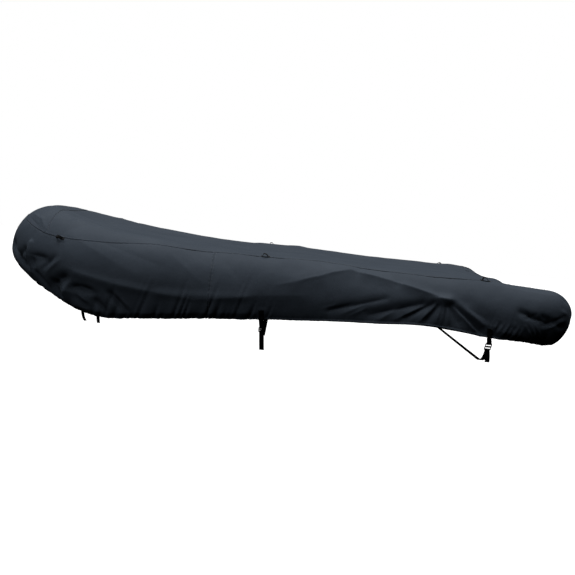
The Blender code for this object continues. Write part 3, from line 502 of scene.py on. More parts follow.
def eased(t):
    """0 up to t = 0, 1 from t = 1, and a smooth rise between."""
    t = np.clip(t, 0.0, 1.0)
    return t * t * (3 - 2 * t)


def smooth_reading(rows, index, place):
    """A column of a table at a place in its first column, as a smooth curve through."""
    places = np.array([row[0] for row in rows])
    values = np.array([row[index] for row in rows])
    slopes = np.gradient(values, places)
    place = min(max(place, places[0]), places[-1])
    i = min(int(np.searchsorted(places, place, side="right")) - 1, len(places) - 2)
    span = places[i + 1] - places[i]
    t = (place - places[i]) / span
    rise = t * (1 - t) * ((1 - t) * slopes[i] - t * slopes[i + 1]) * span
    return float(values[i] + (values[i + 1] - values[i]) * eased(t) + rise)


def column(name, x):
    """A column of the table of cross-sections at x."""
    return smooth_reading(SECTIONS, SECTION_COLUMNS.index(name), x)


def running(steps):
    """The sum of the steps up to each place, from 0."""
    return np.concatenate([[0], np.cumsum(steps)])


def bow_arc():
    """Angles round the bow's quarter ellipse, and the arc length up to each."""
    angles = np.linspace(0, math.pi / 2, 200)
    x = -BOW_LENGTH * np.cos(angles)
    y = -HALF_SPAN * np.sin(angles)
    steps = np.hypot(np.diff(x), np.diff(y))
    return angles, running(steps)


BOW_ANGLES, BOW_ARCS = bow_arc()
STRAIGHT_START = float(BOW_ARCS[-1])


def along_at(x):
    """Distance along the crown line from the bow tip to x, past the bow."""
    return STRAIGHT_START + x - BOW_BEND_X


SOCK_START = along_at(STERN_X)
SOCK_END = SOCK_START + math.pi * STERN_REACH
SIDE_SEAM = along_at(SIDE_SEAM_X)


def spaced(start, end, pitch):
    """Evenly spaced values with a step near the pitch, both ends included."""
    return np.linspace(start, end, max(2, round(abs(end - start) / pitch) + 1))


def crown_line(along):
    """Port crown line at a distance from the bow tip: centre and outward way in plan."""
    if along < STRAIGHT_START:
        angle = float(np.interp(along, BOW_ARCS, BOW_ANGLES))
        centre = (BOW_BEND_X - BOW_LENGTH * math.cos(angle), -HALF_SPAN * math.sin(angle))
        outward = Vector((-math.cos(angle) / BOW_LENGTH, -math.sin(angle) / HALF_SPAN))
        return centre, tuple(outward.normalized())
    if along < SOCK_START:
        return (BOW_BEND_X + along - STRAIGHT_START, -HALF_SPAN), (0.0, -1.0)
    turn = (along - SOCK_START) / STERN_REACH
    return (STERN_X, -HALF_SPAN), (math.sin(turn), -math.cos(turn))


@lru_cache(maxsize=None)
def section(x):
    """Cross-section at x: distance down the cloth, out from the crown line, height."""
    crown, flank, hem = column("crown", x), column("flank", x), column("hem", x)
    reach, tuck = column("reach", x), column("tuck", x)
    turn = np.linspace(0, math.pi / 2, ARC_STEPS)
    upper_out, upper_up = reach * np.sin(turn), flank + (crown - flank) * np.cos(turn)
    lower_out = reach - tuck * (1 - np.cos(turn[1:]))
    lower_up = flank - (flank - hem) * np.sin(turn[1:])
    out = np.concatenate([upper_out, lower_out])
    up = np.concatenate([upper_up, lower_up])
    return running(np.hypot(np.diff(out), np.diff(up))), out, up


def seam_down(x):
    """Distance down the cloth from the crown to the long seam."""
    down, out, _ = section(x)
    seam_out = column("reach", x) * math.sin(math.radians(column("seam_angle", x)))
    return float(np.interp(seam_out, out[:ARC_STEPS], down[:ARC_STEPS]))


def seam_at(along):
    """The same at a distance from the bow tip."""
    return seam_down(crown_line(along)[0][0])


def girth_at(along):
    """Length of the cloth from the crown down to the hem."""
    return section(crown_line(along)[0][0])[0][-1]


def sock_droop(x):
    """How much lower the starboard sock hangs than the port one."""
    return float(STARBOARD_SOCK_DROP * eased((x - TRANSOM_X) / (STERN_X - TRANSOM_X)))


def wall_base(along, downs, port):
    """Points of the cloth's wall at places down it, with no folds, and their normals."""
    (cx, cy), (nx, ny) = crown_line(along)
    girth, out, up = section(cx)
    downs = np.asarray(downs, float)
    o, z = np.interp(downs, girth, out), np.interp(downs, girth, up)
    step = NORMAL_STEP
    o1, o0 = np.interp(downs + step, girth, out), np.interp(downs - step, girth, out)
    z1, z0 = np.interp(downs + step, girth, up), np.interp(downs - step, girth, up)
    long = np.hypot(o1 - o0, z1 - z0)
    to, tz = (o1 - o0) / long, (z1 - z0) / long
    side = 1 if port else -1
    if not port:
        z = z - sock_droop(cx)
    points = np.stack([cx + nx * o, side * (cy + ny * o), z], axis=-1)
    normals = np.stack([-tz * nx, -tz * ny * side, to], axis=-1)
    return points, normals


def row_reading(a, d, row, sharpness, taper):
    """Height of one fold or crease at places of the cloth."""
    a0, d0, a1, d1, width0, width1, height = row
    run_a, run_d = a1 - a0, d1 - d0
    share = ((a - a0) * run_a + (d - d0) * run_d) / (run_a**2 + run_d**2)
    t = np.clip(share, 0, 1)
    width = width0 + (width1 - width0) * t
    gap = np.hypot(a - a0 - t * run_a, d - d0 - t * run_d) / width
    strength = 1 - taper + taper * np.sin(math.pi * t)
    return height * strength * np.exp(-(gap**sharpness))


def main_folds(a, d, port):
    """The main folds' height at places of one side's cloth."""
    rows = PORT_FOLDS if port else STARBOARD_FOLDS
    return sum(row_reading(a, d, row, sharpness=2.0, taper=0.0) for row in rows)


def creases(a, d, rows):
    """Narrow creases: sharper than the main folds, and fading out at both ends."""
    total = np.zeros_like(a)
    for a0, d0, a1, d1, width, height in rows:
        row = (a0, d0, a1, d1, width, width, CREASE_DEPTH * height)
        total += row_reading(a, d, row, sharpness=1.35, taper=0.7)
    return total


def turned_under(a, d):
    """The edges where the cloth turns under, one ridge with wide skirts."""
    rows = [(*row[:5], *row[4:]) for row in TURNS]
    return np.max([row_reading(a, d, row, sharpness=1.0, taper=0.0) for row in rows], axis=0)


def slow_waves(a, d):
    """The slow unevenness at places of the cloth."""
    total = np.zeros_like(a)
    for length, turn, height, phase in WAVES:
        way = math.radians(turn)
        run = a * math.cos(way) + d * math.sin(way)
        bend = 0.6 * np.sin(2 * math.pi * (a * 0.7 - d * 1.3) / (length * 1.9) + phase)
        total += height * np.sin(2 * math.pi * run / length + phase + bend)
    return total


def uneven_phase(a, pitch, shift):
    """The phase of gathers whose pitch varies along the hem, by two slow waves."""
    wander = 0.32 * np.sin(2 * math.pi * a / (pitch * 5.3) + shift)
    wander += 0.21 * np.sin(2 * math.pi * a / (pitch * 2.7) + 2.3 * shift)
    return 2 * math.pi * (a / pitch + wander)


def pleat(a, pitch, shift):
    """Gathers of unit height: round crests with narrow hollows between them."""
    return np.abs(np.sin(uneven_phase(a, pitch, shift) / 2)) ** 0.8 - 0.6


def gathered(a, above, port):
    """Gathers that run up the cloth from the elastic hem, and the elastic's own puckers."""
    shift = 0.7 if port else 2.9
    total = np.zeros_like(a)
    for start, end, pitch, height, reach in GATHERS:
        inside = eased((a - start) / GATHER_BLEND + 0.5) * eased((end - a) / GATHER_BLEND + 0.5)
        fold = pleat(a - GATHER_LEAN * above, pitch, shift)
        length = reach * (0.7 + 0.45 * np.sin(2 * math.pi * a / (pitch * 3.7) + shift))
        fade = np.exp(-(np.maximum(above, 0) / np.maximum(length, 0.01)) ** 1.4)
        total += inside * height * fold * fade * (0.15 + 0.85 * eased(above / GATHER_RISE))
    near = np.exp(-((above - HEM_ROLL) / (1.2 * HEM_ROLL)) ** 2)
    pucker = np.sin(uneven_phase(a, PUCKER_PITCH, shift + 1.1))
    return total + PUCKER_HEIGHT * pucker * near


def hem_turn(a, above):
    """Before the middle strap and at the stern the cloth turns in above its hem."""
    gap = above - HEM_TURN_UP
    up, down = HEM_TURN_SKIRTS
    first, last = HEM_TURN_PAUSE
    skirt = np.exp(-np.where(gap > 0, gap / up, -gap / down))
    pause = eased((a - first) / HEM_TURN_BLEND) * eased((last - a) / HEM_TURN_BLEND)
    start = eased((a - HEM_TURN_START) / HEM_TURN_BLEND)
    return HEM_TURN * skirt * (1 - pause) * start


def hem_roll(above):
    """The elastic hem stands out as a small round roll."""
    t = np.clip((HEM_ROLL - above) / HEM_ROLL, 0, 1)
    return HEM_ROLL_OUT * np.sin(math.pi * t) ** 0.8


def seam_band(gap, a):
    """A stitched band: gap is the distance from the seam line, to the upper sheet's side."""
    band = SEAM_RAISE * eased((SEAM_BAND - gap) / SEAM_EDGE)
    groove = (gap - SEAM_LAP - SEAM_GROOVE_WIDTH) / SEAM_GROOVE_WIDTH
    band -= SEAM_GROOVE * np.exp(-(groove**2))
    near = np.exp(-((gap - SEAM_EDGE) / SEAM_PUCKER_WIDTH) ** 2)
    return band + SEAM_PUCKER * near * np.sin(uneven_phase(a, SEAM_PUCKER_PITCH, 0.9))


PLAN_ALONG = np.linspace(0, SOCK_START, 400)
PLAN = [crown_line(along) for along in PLAN_ALONG.tolist()]
PLAN_CENTRES = np.array([centre for centre, _ in PLAN])
PLAN_OUTWARD = np.array([outward for _, outward in PLAN])


def top_base(x, y):
    """A point of the cloth above the long seams with no folds, its normal, and its place:
    distance along the crown line and down from it, negative on the inner side."""
    port = y <= 0
    away = np.array([x, -abs(y)]) - PLAN_CENTRES
    nearest = int(np.argmin(np.hypot(away[:, 0], away[:, 1])))
    out_way = PLAN_OUTWARD[nearest]
    outside = float(away[nearest] @ out_way)
    slide = float(away[nearest] @ np.array([-out_way[1], out_way[0]]))
    along = float(np.clip(PLAN_ALONG[nearest] + slide, 0, SOCK_START))
    if outside > 0:
        girth, out, _ = section(crown_line(along)[0][0])
        down = float(np.interp(outside, out[:ARC_STEPS], girth[:ARC_STEPS]))
        point, normal = wall_base(along, [down], port)
        return (x, y, point[0, 2]), normal[0], along, down
    sag = TOP_SAG * eased(-outside / TOP_SAG_IN) * eased((TRANSOM_X - x) / TOP_TAUT)
    return (x, y, column("crown", x) - sag), (0.0, 0.0, 1.0), along, outside


# ---------------------------------------------------------------- making pieces
def link(name, mesh, finish, nodes):
    """A new piece that rides on the cover's body and stands for frame nodes."""
    piece = bpy.data.objects.new(name, mesh)
    bpy.context.scene.collection.objects.link(piece)
    mesh.materials.append(finish)
    mesh.shade_smooth()
    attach(piece, BODY)
    if nodes:
        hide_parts(*nodes)
    return piece


@contextmanager
def edited(mesh):
    """A mesh's corners, edges and faces to change, written back at the end."""
    bm = bmesh.new()
    bm.from_mesh(mesh)
    yield bm
    bm.to_mesh(mesh)
    bm.free()


def grid_mesh(name, points, uvs, outward):
    """A mesh through rows of points, with texture places in metres, facing outward."""
    rows, columns = points.shape[:2]
    index = np.arange(rows * columns).reshape(rows, columns)
    quads = np.stack([index[:-1, :-1], index[1:, :-1], index[1:, 1:], index[:-1, 1:]], axis=-1)
    quads = quads.reshape(-1, 4)
    flat = points.reshape(-1, 3)
    across, along = flat[quads[:, 2]] - flat[quads[:, 0]], flat[quads[:, 3]] - flat[quads[:, 1]]
    facing = np.cross(across, along)
    centres = flat[quads].mean(axis=1)
    if (facing * outward(centres)).sum() < 0:
        quads = quads[:, ::-1]
    mesh = bpy.data.meshes.new(name)
    mesh.from_pydata(flat.tolist(), [], quads.tolist())
    layer = mesh.uv_layers.new(name="metres")
    corners = uvs.reshape(-1, 2)[quads.reshape(-1)]
    layer.data.foreach_set("uv", corners.astype(np.float32).reshape(-1))
    with edited(mesh) as bm:
        bmesh.ops.remove_doubles(bm, verts=bm.verts, dist=MERGE)
    return mesh


def wall_outward(centres):
    """The way out of the cover at places of its walls."""
    return centres * np.array([0.2, 1.0, 1.0]) + np.array([0, 0, 0.25])


def top_outward(centres):
    """The way up, for the top."""
    return np.tile([0.0, 0.0, 1.0], (len(centres), 1))


def cloth_piece(name, points, uvs, outward, nodes):
    """A cloth panel as one sheet, with its thickness inside."""
    mesh = grid_mesh(name, points, uvs, outward)
    piece = link(name, mesh, cloth_material(), nodes)
    solid = piece.modifiers.new("cloth thickness", "SOLIDIFY")
    solid.thickness = bpy.context.scene.cover_sizes.cloth
    solid.offset = -1
    return piece


# ---------------------------------------------------------------- cloth panels
def wall_grid(places, pitch):
    """Rows of a wall panel. A place is (distance from the bow tip, on the port side).

    Each row runs from the lap above the long seam down to the hem, and turns in there."""
    deepest = max(girth_at(along) for along, _ in places)
    steps = round(deepest / pitch)
    points, uvs = [], []
    for along, port in places:
        girth, top = girth_at(along), max(seam_at(along) - SEAM_LAP, 0)
        band = top + np.arange(0, SEAM_BAND, BAND_PITCH)
        wall = np.linspace(top + SEAM_BAND, girth - HEM_ROLL, steps)
        wall = np.concatenate([band, wall])
        roll = np.linspace(girth - HEM_ROLL, girth, 7)[1:]
        back = girth - np.array(HEM_BACK)
        downs = np.concatenate([wall, roll, back])
        base, normal = wall_base(along, downs, port)
        a = np.full_like(downs, along)
        above = girth - downs
        table = PORT_CREASES if port else STARBOARD_CREASES
        height = main_folds(a, downs, port) + turned_under(a, downs) + hem_roll(above)
        height += hem_turn(a, above)
        fine = creases(a, downs, table) + slow_waves(a, downs) + gathered(a, above, port)
        height += fine * free_of_fittings(a, downs, port)
        gap = downs - top
        height += seam_band(gap, a)
        side_gap = along - (SIDE_SEAM - SEAM_LAP)
        if -1e-9 <= side_gap < 2 * SEAM_BAND:
            height += seam_band(np.full_like(a, side_gap), downs)
        height[-3:] = -np.array(HEM_BACK_DEPTHS)
        base[-3, 2] -= HEM_BACK_DROP
        points.append(base + normal * height[:, None])
        side = 1 if port else -1
        uvs.append(np.stack([a * side, downs], axis=-1))
    return np.array(points), np.array(uvs)


@lru_cache(maxsize=None)
def fitting_places(port):
    """Where webbing lies on one side's cloth: along and down it, half-sizes of each."""
    side = "port" if port else "starboard"
    places = []
    for name, along, past, span, width, *_ in LOOPS:
        if name.startswith(side):
            down = seam_at(along) + past
            places.append((along, down, span / 2, width / 2))
    for _, x, sewn, _, _ in STRAPS:
        along = along_at(x) + STRAP_LEAN * sewn / 2
        places.append((along, section(x)[0][-1] - sewn / 2, STRAP_WIDTH / 2, sewn / 2))
    return places


def free_of_fittings(a, d, port):
    """1 on free cloth and 0 under webbing, where finer folds are pressed flat."""
    free = np.ones_like(a)
    for along, down, half_a, half_d in fitting_places(port):
        gap = np.hypot(
            np.maximum(np.abs(a - along) - half_a, 0), np.maximum(np.abs(d - down) - half_d, 0)
        )
        free = np.minimum(free, eased(gap / FITTING_FADE))
    return free


def bow_panel():
    """The wall from one upright seam round the bow to the other."""
    sizes = bpy.context.scene.cover_sizes
    places = [(along, True) for along in spaced(0, SIDE_SEAM, sizes.near_pitch).tolist()]
    far = [(along, False) for along in spaced(0, SIDE_SEAM, sizes.near_pitch).tolist()[:0:-1]]
    points, uvs = wall_grid(far + places, sizes.near_pitch)
    return cloth_piece(
        "bow_panel_cloth", points, uvs, wall_outward, ["bow_panel"]
    )


def side_panel(port):
    """The wall from the upright seam to the end of the stern sock."""
    sizes = bpy.context.scene.cover_sizes
    pitch = sizes.near_pitch if port else sizes.far_pitch
    start = SIDE_SEAM - SEAM_LAP
    band = spaced(start, SIDE_SEAM + SEAM_BAND, BAND_PITCH).tolist()
    rest = spaced(SIDE_SEAM + SEAM_BAND, SOCK_END + 0.003, pitch).tolist()[1:]
    points, uvs = wall_grid([(along, port) for along in band + rest], pitch)
    side = "port" if port else "starboard"
    nodes = [f"{side}_side_panel"]
    return cloth_piece(
        f"{side}_side_cloth", points, uvs, wall_outward, nodes
    )


def rim_place(along, port):
    """A point of the top's rim, just above the long seam."""
    down = max(seam_at(along) + SEAM_GAP, 0)
    point, _ = wall_base(along, [down], port)
    return point[0]


def top_grid(start_x, end_x, pitch):
    """Rows across the cover above the long seams, between two places along it."""
    alongs = spaced(0, SOCK_START, pitch).tolist()
    rims = [rim_place(along, True) for along in alongs]
    xs = np.array([rim[0] for rim in rims])
    half = np.array([-rim[1] for rim in rims])
    inner = [x for x in xs.tolist() if start_x + 0.002 < x < end_x - 0.002]
    shares = np.sin(np.linspace(-math.pi / 2, math.pi / 2, TOP_ACROSS))
    points, uvs = [], []
    for x in [start_x, *inner, end_x]:
        reach = float(np.interp(x, xs, half))
        row, places = [], []
        for share in shares.tolist():
            point, normal, along, down = top_base(x, share * reach)
            row.append((*point, *normal))
            places.append((along, down))
        row = np.array(row)
        a, d = np.array(places).T
        fine = slow_waves(row[:, 0] * 0.9, row[:, 1] * 0.9)
        fine += creases(row[:, 0], row[:, 1], TOP_CREASES)
        port_side = row[:, 1] <= 0
        for port, mask in ((True, port_side), (False, ~port_side)):
            if mask.any():
                main = main_folds(a[mask], d[mask], port) + turned_under(a[mask], d[mask])
                table = PORT_CREASES if port else STARBOARD_CREASES
                fine[mask] += creases(a[mask], d[mask], table)
                fine[mask] *= free_of_fittings(a[mask], d[mask], port)
                fine[mask] += main
        edge = (1 - np.abs(shares)) * reach
        fine -= TOP_RIM_DIP * np.exp(-((edge / TOP_RIM_WIDTH) ** 2))
        points.append(row[:, :3] + row[:, 3:] * fine[:, None])
        uvs.append(row[:, :2])
    return np.array(points), np.array(uvs)


def top_panel():
    """The top from its cross seam to the transom, where it turns down."""
    sizes = bpy.context.scene.cover_sizes
    start = CAP_SEAM_X - SEAM_LAP
    points, uvs = top_grid(start, TRANSOM_X + TOP_OVERHANG, sizes.top_pitch)
    gap = points[:, :, 0] - start
    points[:, :, 2] += seam_band(gap, points[:, :, 1])
    points = np.concatenate([points, points[-1:] - np.array([0, 0, TOP_LAP])])
    uvs = np.concatenate([uvs, uvs[-1:] + np.array([TOP_LAP, 0])])
    return cloth_piece(
        "top_panel_cloth", points, uvs, top_outward, ["top_panel"]
    )


def bow_cap():
    """The top's foremost piece, up to its cross seam."""
    sizes = bpy.context.scene.cover_sizes
    tip = float(rim_place(0, True)[0])
    points, uvs = top_grid(tip, CAP_SEAM_X, 0.6 * sizes.top_pitch)
    return cloth_piece(
        "bow_cap_cloth", points, uvs, top_outward, ["bow_cap"]
    )


def stern_row(share, port):
    """A row of the stern panel, from its top edge down to its hem: a soft shoulder that
    bulges out, then the cloth falls to the hem."""
    top_x, top_y, hem_x, hem_y, hem, bulge = (
        smooth_reading(STERN_SECTIONS, i, share) for i in range(1, len(STERN_COLUMNS))
    )
    top_x = max(top_x, TRANSOM_X + SEAM_GAP)
    top_y = max(top_y, SEAM_GAP - HALF_SPAN)
    point, _, along, down = top_base(top_x, top_y if port else -top_y)
    lift = float(main_folds(np.array([along]), np.array([down]), port)[0])
    top = Vector((top_x, top_y, point[2] + lift))
    foot = Vector((hem_x, hem_y, hem))
    away = Vector((foot.x - top.x, foot.y - top.y, 0)).normalized()
    shoulder = top + away * bulge
    waist = Vector((shoulder.x, shoulder.y, foot.z + 0.3 * (top.z - foot.z)))
    girth = section(STERN_X)[0][-1]
    even = np.linspace(0, 1, STERN_ROWS)
    leave = float(eased(share / SOCK_SHARE))
    base, normal = wall_base(SOCK_END, girth * even, port)
    end_folds = main_folds(np.full_like(even, SOCK_END), girth * even, port)
    sock = base + normal * end_folds[:, None] - np.array([SEAM_GAP, 0, 0])
    droop = 0 if port else sock_droop(top_x)
    side = 1 if port else -1
    row = []
    for i, t in enumerate((even**1.4).tolist()):
        point = (1 - t) ** 3 * top + 3 * t * (1 - t) ** 2 * shoulder
        point += 3 * t * t * (1 - t) * waist + t**3 * foot
        own = np.array([point.x, side * point.y, point.z - droop])
        row.append(sock[i] + (own - sock[i]) * leave)
    return row


def stern_panel():
    """The cloth across the stern, from one sock's end to the other's."""
    shares = np.linspace(0, 1, STERN_COUNT).tolist()
    rows = [stern_row(share, True) for share in shares]
    rows += [stern_row(share, False) for share in shares[-2::-1]]
    points = np.array(rows)
    steps = np.linalg.norm(np.diff(points, axis=0), axis=2)
    run = np.concatenate([np.zeros((1, points.shape[1])), np.cumsum(steps, axis=0)])
    drops = np.linalg.norm(np.diff(points, axis=1), axis=2)
    fall = np.concatenate([np.zeros((points.shape[0], 1)), np.cumsum(drops, axis=1)], axis=1)
    above = fall[:, -1:] - fall
    calm = eased(run / STERN_CALM) * eased((run[-1:] - run) / STERN_CALM)
    relief = slow_waves(run + 0.3, fall) * 2.0 * calm
    pitch, height, reach = STERN_GATHERS
    relief += height * pleat(run + 0.2 * above, pitch, 1.7) * np.exp(-((above / reach) ** 1.4))
    relief += hem_roll(above) * calm
    points[:, :, 0] += relief
    uvs = np.stack([run, fall], axis=-1)
    return cloth_piece(
        "stern_panel_cloth", points, uvs, wall_outward, ["stern_panel"]
    )


# ---------------------------------------------------------------- webbing and fittings
X_WAY = Vector((1, 0, 0))


def side_point(along, down, port=True):
    """A point of the near cloth with its main folds, and its normal."""
    base, normal = wall_base(along, [down], port)
    above = girth_at(along) - down
    lift = main_folds(np.array([along]), np.array([down]), port) + hem_roll(np.array([above]))
    return Vector((base + normal * lift[:, None])[0].tolist()), Vector(normal[0].tolist())


@lru_cache(maxsize=None)
def cloth_bed():
    """The faces of the finished panels, as one bed that fittings are pressed to."""
    graph = bpy.context.evaluated_depsgraph_get()
    points, faces = [], []
    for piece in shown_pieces():
        if not piece.name.endswith("_cloth"):
            continue
        mesh = piece.evaluated_get(graph).to_mesh()
        mesh.calc_loop_triangles()
        first = len(points)
        points += [vertex.co.copy() for vertex in mesh.vertices]
        faces += [[first + i for i in face.vertices] for face in mesh.loop_triangles]
    return BVHTree.FromPolygons(points, faces)


def pressed(point, away):
    """The point, moved along the way away from the cloth to where webbing lies on it.

    Webbing bridges small hollows, so the highest cloth just round the point counts."""
    side = away.orthogonal().normalized() * PRESS_REACH
    other = away.cross(side).normalized() * PRESS_REACH
    levels = []
    for spot in (point, point + side, point - side, point + other, point - other):
        hit = cloth_bed().ray_cast(spot + away * PRESS_FROM, -away, 2 * PRESS_FROM)[0]
        if hit:
            levels.append((hit - point).dot(away))
    return point + away * (max(levels, default=0.0) + WEBBING / 2 + CLEAR)


def strip_rows(route, across, width):
    """Rows of a strip along a route, its width along the way across it at each point."""
    rows = []
    for point, way in zip(route, across):
        half = way.normalized() * width / 2
        rows.append([point - half, point, point + half])
    return rows


def smooth_route(points, step):
    """Points closer together on a smooth curve through the given ones."""
    places = np.array([tuple(point) for point in points])
    found = []
    for i in range(len(places) - 1):
        p0 = places[max(i - 1, 0)]
        p1, p2 = places[i], places[i + 1]
        p3 = places[min(i + 2, len(places) - 1)]
        gap = np.linalg.norm(p2 - p1)
        m1 = (p2 - p0) * gap / max(gap + np.linalg.norm(p1 - p0), 1e-6)
        m2 = (p3 - p1) * gap / max(gap + np.linalg.norm(p3 - p2), 1e-6)
        if i == 0:
            m1 = p2 - p1
        if i == len(places) - 2:
            m2 = p2 - p1
        for t in np.linspace(0, 1, max(2, round(gap / step) + 1))[:-1]:
            h1, h2 = 2 * t**3 - 3 * t**2 + 1, t**3 - 2 * t**2 + t
            h3, h4 = -2 * t**3 + 3 * t**2, t**3 - t**2
            found.append(h1 * p1 + h2 * m1 + h3 * p2 + h4 * m2)
    found.append(places[-1])
    return np.array(found)


# The cross-section of webbing: shares of its half-width and half-thickness.
WEBBING_PROFILE = (
    (-1.0, 0.0), (-0.985, 0.7), (-0.93, 1.0), (-0.4, 0.92), (0.0, 1.0), (0.4, 0.92),
    (0.93, 1.0), (0.985, 0.7), (1.0, 0.0), (0.985, -0.7), (0.93, -1.0), (0.4, -0.92),
    (0.0, -1.0), (-0.4, -0.92), (-0.93, -1.0), (-0.985, -0.7),
)  # fmt: skip


def webbing(name, rows, node, step=0.0025):
    """Woven webbing through rows of three points across it, with its selvedges."""
    edges = [smooth_route([row[i] for row in rows], step) for i in (0, 1, 2)]
    count = min(len(edge) for edge in edges)
    spots = np.linspace(0, 1, count)
    lines = []
    for edge in edges:
        places = np.linspace(0, 1, len(edge))
        lines.append(np.stack([np.interp(spots, places, edge[:, k]) for k in range(3)], axis=-1))
    left, middle, right = lines
    across = right - left
    width = np.linalg.norm(across, axis=1, keepdims=True)
    across /= width
    way = np.gradient(middle, axis=0)
    normal = np.cross(way, across)
    normal /= np.linalg.norm(normal, axis=1, keepdims=True)
    length = running(np.linalg.norm(np.diff(middle, axis=0), axis=1))
    rings, uvs = [], []
    for u, v in [*WEBBING_PROFILE, WEBBING_PROFILE[0]]:
        rings.append(middle + across * u * width / 2 + normal * v * WEBBING / 2)
        uvs.append(np.stack([u * width[:, 0] / 2, length], axis=-1))
    points, uvs = np.stack(rings, axis=1), np.stack(uvs, axis=1)
    mesh = grid_mesh(name, points, uvs, lambda centres: centres - nearest_of(centres, middle))
    with edited(mesh) as bm:
        open_edges = [edge for edge in bm.edges if edge.is_boundary]
        bmesh.ops.holes_fill(bm, edges=open_edges, sides=0)
        bmesh.ops.recalc_face_normals(bm, faces=bm.faces)
    piece = link(name, mesh, webbing_material(), [node])
    mesh.set_sharp_from_angle(angle=math.radians(50))
    return piece


def nearest_of(centres, line):
    """The point of a line that is nearest to each centre."""
    gaps = np.linalg.norm(centres[:, None, :] - line[None, :, :], axis=2)
    return line[gaps.argmin(axis=1)]


def cloth_row(along, width, above_hem, port, inside=False):
    """A row of a strip that lies on the cloth or inside it, this far above the hem."""
    row = []
    for offset in (-width / 2, 0, width / 2):
        down = girth_at(along + offset) - above_hem
        point, normal = side_point(along + offset, down, port)
        away = -normal if inside else normal
        if above_hem > HEM_ROLL:
            row.append(pressed(point, away))
        elif inside:
            row.append(point + away * (2 * WEBBING + HEM_CLEAR))
        else:
            row.append(pressed(point, away) + away * HEM_CLEAR)
    return row


def roll_point(x, angle, radius, port):
    """A point at an angle in degrees from the crown, round the middle of a side roll."""
    turn = math.radians(angle)
    y = HALF_SPAN + radius * math.sin(turn)
    return Vector((x, -y if port else y, column("flank", x) + radius * math.cos(turn)))


def strap_top(x, sewn, port):
    """Upper end of a strap that starts at x, on the cloth."""
    girth = section(x)[0][-1]
    return side_point(along_at(x), girth - sewn, port)[0]


def hem_rows(x, sewn, port):
    """A strap's rows down the cloth: its sewn stretch, then over the hem's roll."""
    girth = section(x)[0][-1]
    top = strap_top(x, sewn, port)
    rows = []
    flat = spaced(sewn, HEM_ROLL + STRAP_PITCH, STRAP_PITCH).tolist()
    for above_hem in [*flat, HEM_ROLL / 2, 0]:
        along = along_at(x)
        level = side_point(along, girth - above_hem, port)[0].z
        along += STRAP_LEAN * (top.z - level)
        rows.append(cloth_row(along, STRAP_WIDTH, above_hem, port))
    return rows


def drifted(points, top, x):
    """The points, each set aft of x by the strap's drift at its height."""
    return [Vector((x + STRAP_LEAN * (top.z - p.z), p.y, p.z)) for p in points]


def buckle_frame(angle, x, sewn):
    """The buckle's centre, its outward way and its way up along the strap."""
    half_gap = BUCKLE_SIZE[1] / 2 + 2 * CLEAR + WEBBING / 2
    centre = roll_point(x, angle, STRAP_RADIUS + half_gap, True)
    centre = drifted([centre], strap_top(x, sewn, True), x)[0]
    turn = math.radians(angle)
    outward = Vector((0, -math.sin(turn), math.cos(turn)))
    up = Vector((0, math.cos(turn), math.sin(turn)))
    return centre, outward, up


def round_bar(place, sign):
    """Webbing round one of a buckle's bars through its window, from front to back.

    sign is +1 for the upper bar, which it passes below, and -1 for the lower one."""
    centre, outward, up = place
    bend = WEBBING / 2 + 2 * CLEAR
    bar = sign * (BUCKLE_SIZE[2] - BUCKLE_BAR) / 2
    corner = bar - sign * BUCKLE_BAR / 2
    path = [(BUCKLE_SIZE[1] / 2 + bend, bar)]
    for side, turns in ((1, (0, 45, 90)), (-1, (90, 45, 0))):
        for turn in turns:
            a = math.radians(turn)
            deep = side * (BUCKLE_SIZE[1] / 2 + bend * math.cos(a))
            path.append((deep, corner - sign * bend * math.sin(a)))
    path.append((-BUCKLE_SIZE[1] / 2 - bend, bar))
    return [centre + outward * deep + up * height for deep, height in path]


def anchor_strap(name, x, sewn, angle):
    """The short port strap: sewn on, over the hem, round the buckle's upper bar, and
    turned back behind itself."""
    place = buckle_frame(angle, x, sewn)
    rows = hem_rows(x, sewn, True)
    stitched_box(f"{name}_port_strap_stitching", rows[:4])
    turn = round_bar(place, 1)
    past_bar = place[2] * (BUCKLE_BAR / 2 + 3 * CLEAR)
    front, back = turn[0] + past_bar, turn[-1] + past_bar
    way_up = (rows[-1][1] - front).normalized()
    inward = way_up.cross(X_WAY).normalized()
    if inward.dot(place[1]) > 0:
        inward.negate()
    end = front + way_up * STRAP_TURN_BACK + inward * (WEBBING + 2 * CLEAR)
    end.x = front.x
    route = [front, *turn, back, end]
    rows += strip_rows(route, [X_WAY] * len(route), STRAP_WIDTH)
    return webbing(f"{name}_short_strap", rows, f"{name}_anchor_strap")


def belly_strap(name, x, sewn, angle, tail):
    """The long strap: sewn on the starboard side, under the cover, round the buckle's
    lower bar, with a free end that hangs plumb."""
    top = strap_top(x, sewn, False)
    place = buckle_frame(angle, x, sewn)
    turn = round_bar(place, -1)[::-1]
    rows = hem_rows(x, sewn, False)
    stitched_box(f"{name}_starboard_strap_stitching", rows[:4])
    crest = rows[-1][1]
    first = math.degrees(math.atan2(crest.y - HALF_SPAN, crest.z - column("flank", x)))
    first += TURN_PAST_HEM
    last = angle + math.degrees((BUCKLE_SIZE[2] / 2 + BELOW_BUCKLE) / STRAP_RADIUS)
    around = [roll_point(x, a, STRAP_RADIUS, False) for a in np.linspace(first, 180, 9)]
    around += [roll_point(x, a, STRAP_RADIUS, True) for a in np.linspace(180, last, 6)]
    end = turn[-1]
    hanging = []
    for fall in CURVE_STEPS:
        swing = TAIL_BOW * math.sin(math.pi * fall)
        hanging.append(Vector((x, end.y - swing, end.z - tail * fall)))
    route = drifted(around, top, x) + turn + drifted(hanging, end, place[0].x)
    rows += strip_rows(route, [X_WAY] * len(route), STRAP_WIDTH)
    return webbing(f"{name}_long_strap", rows, f"{name}_belly_strap")


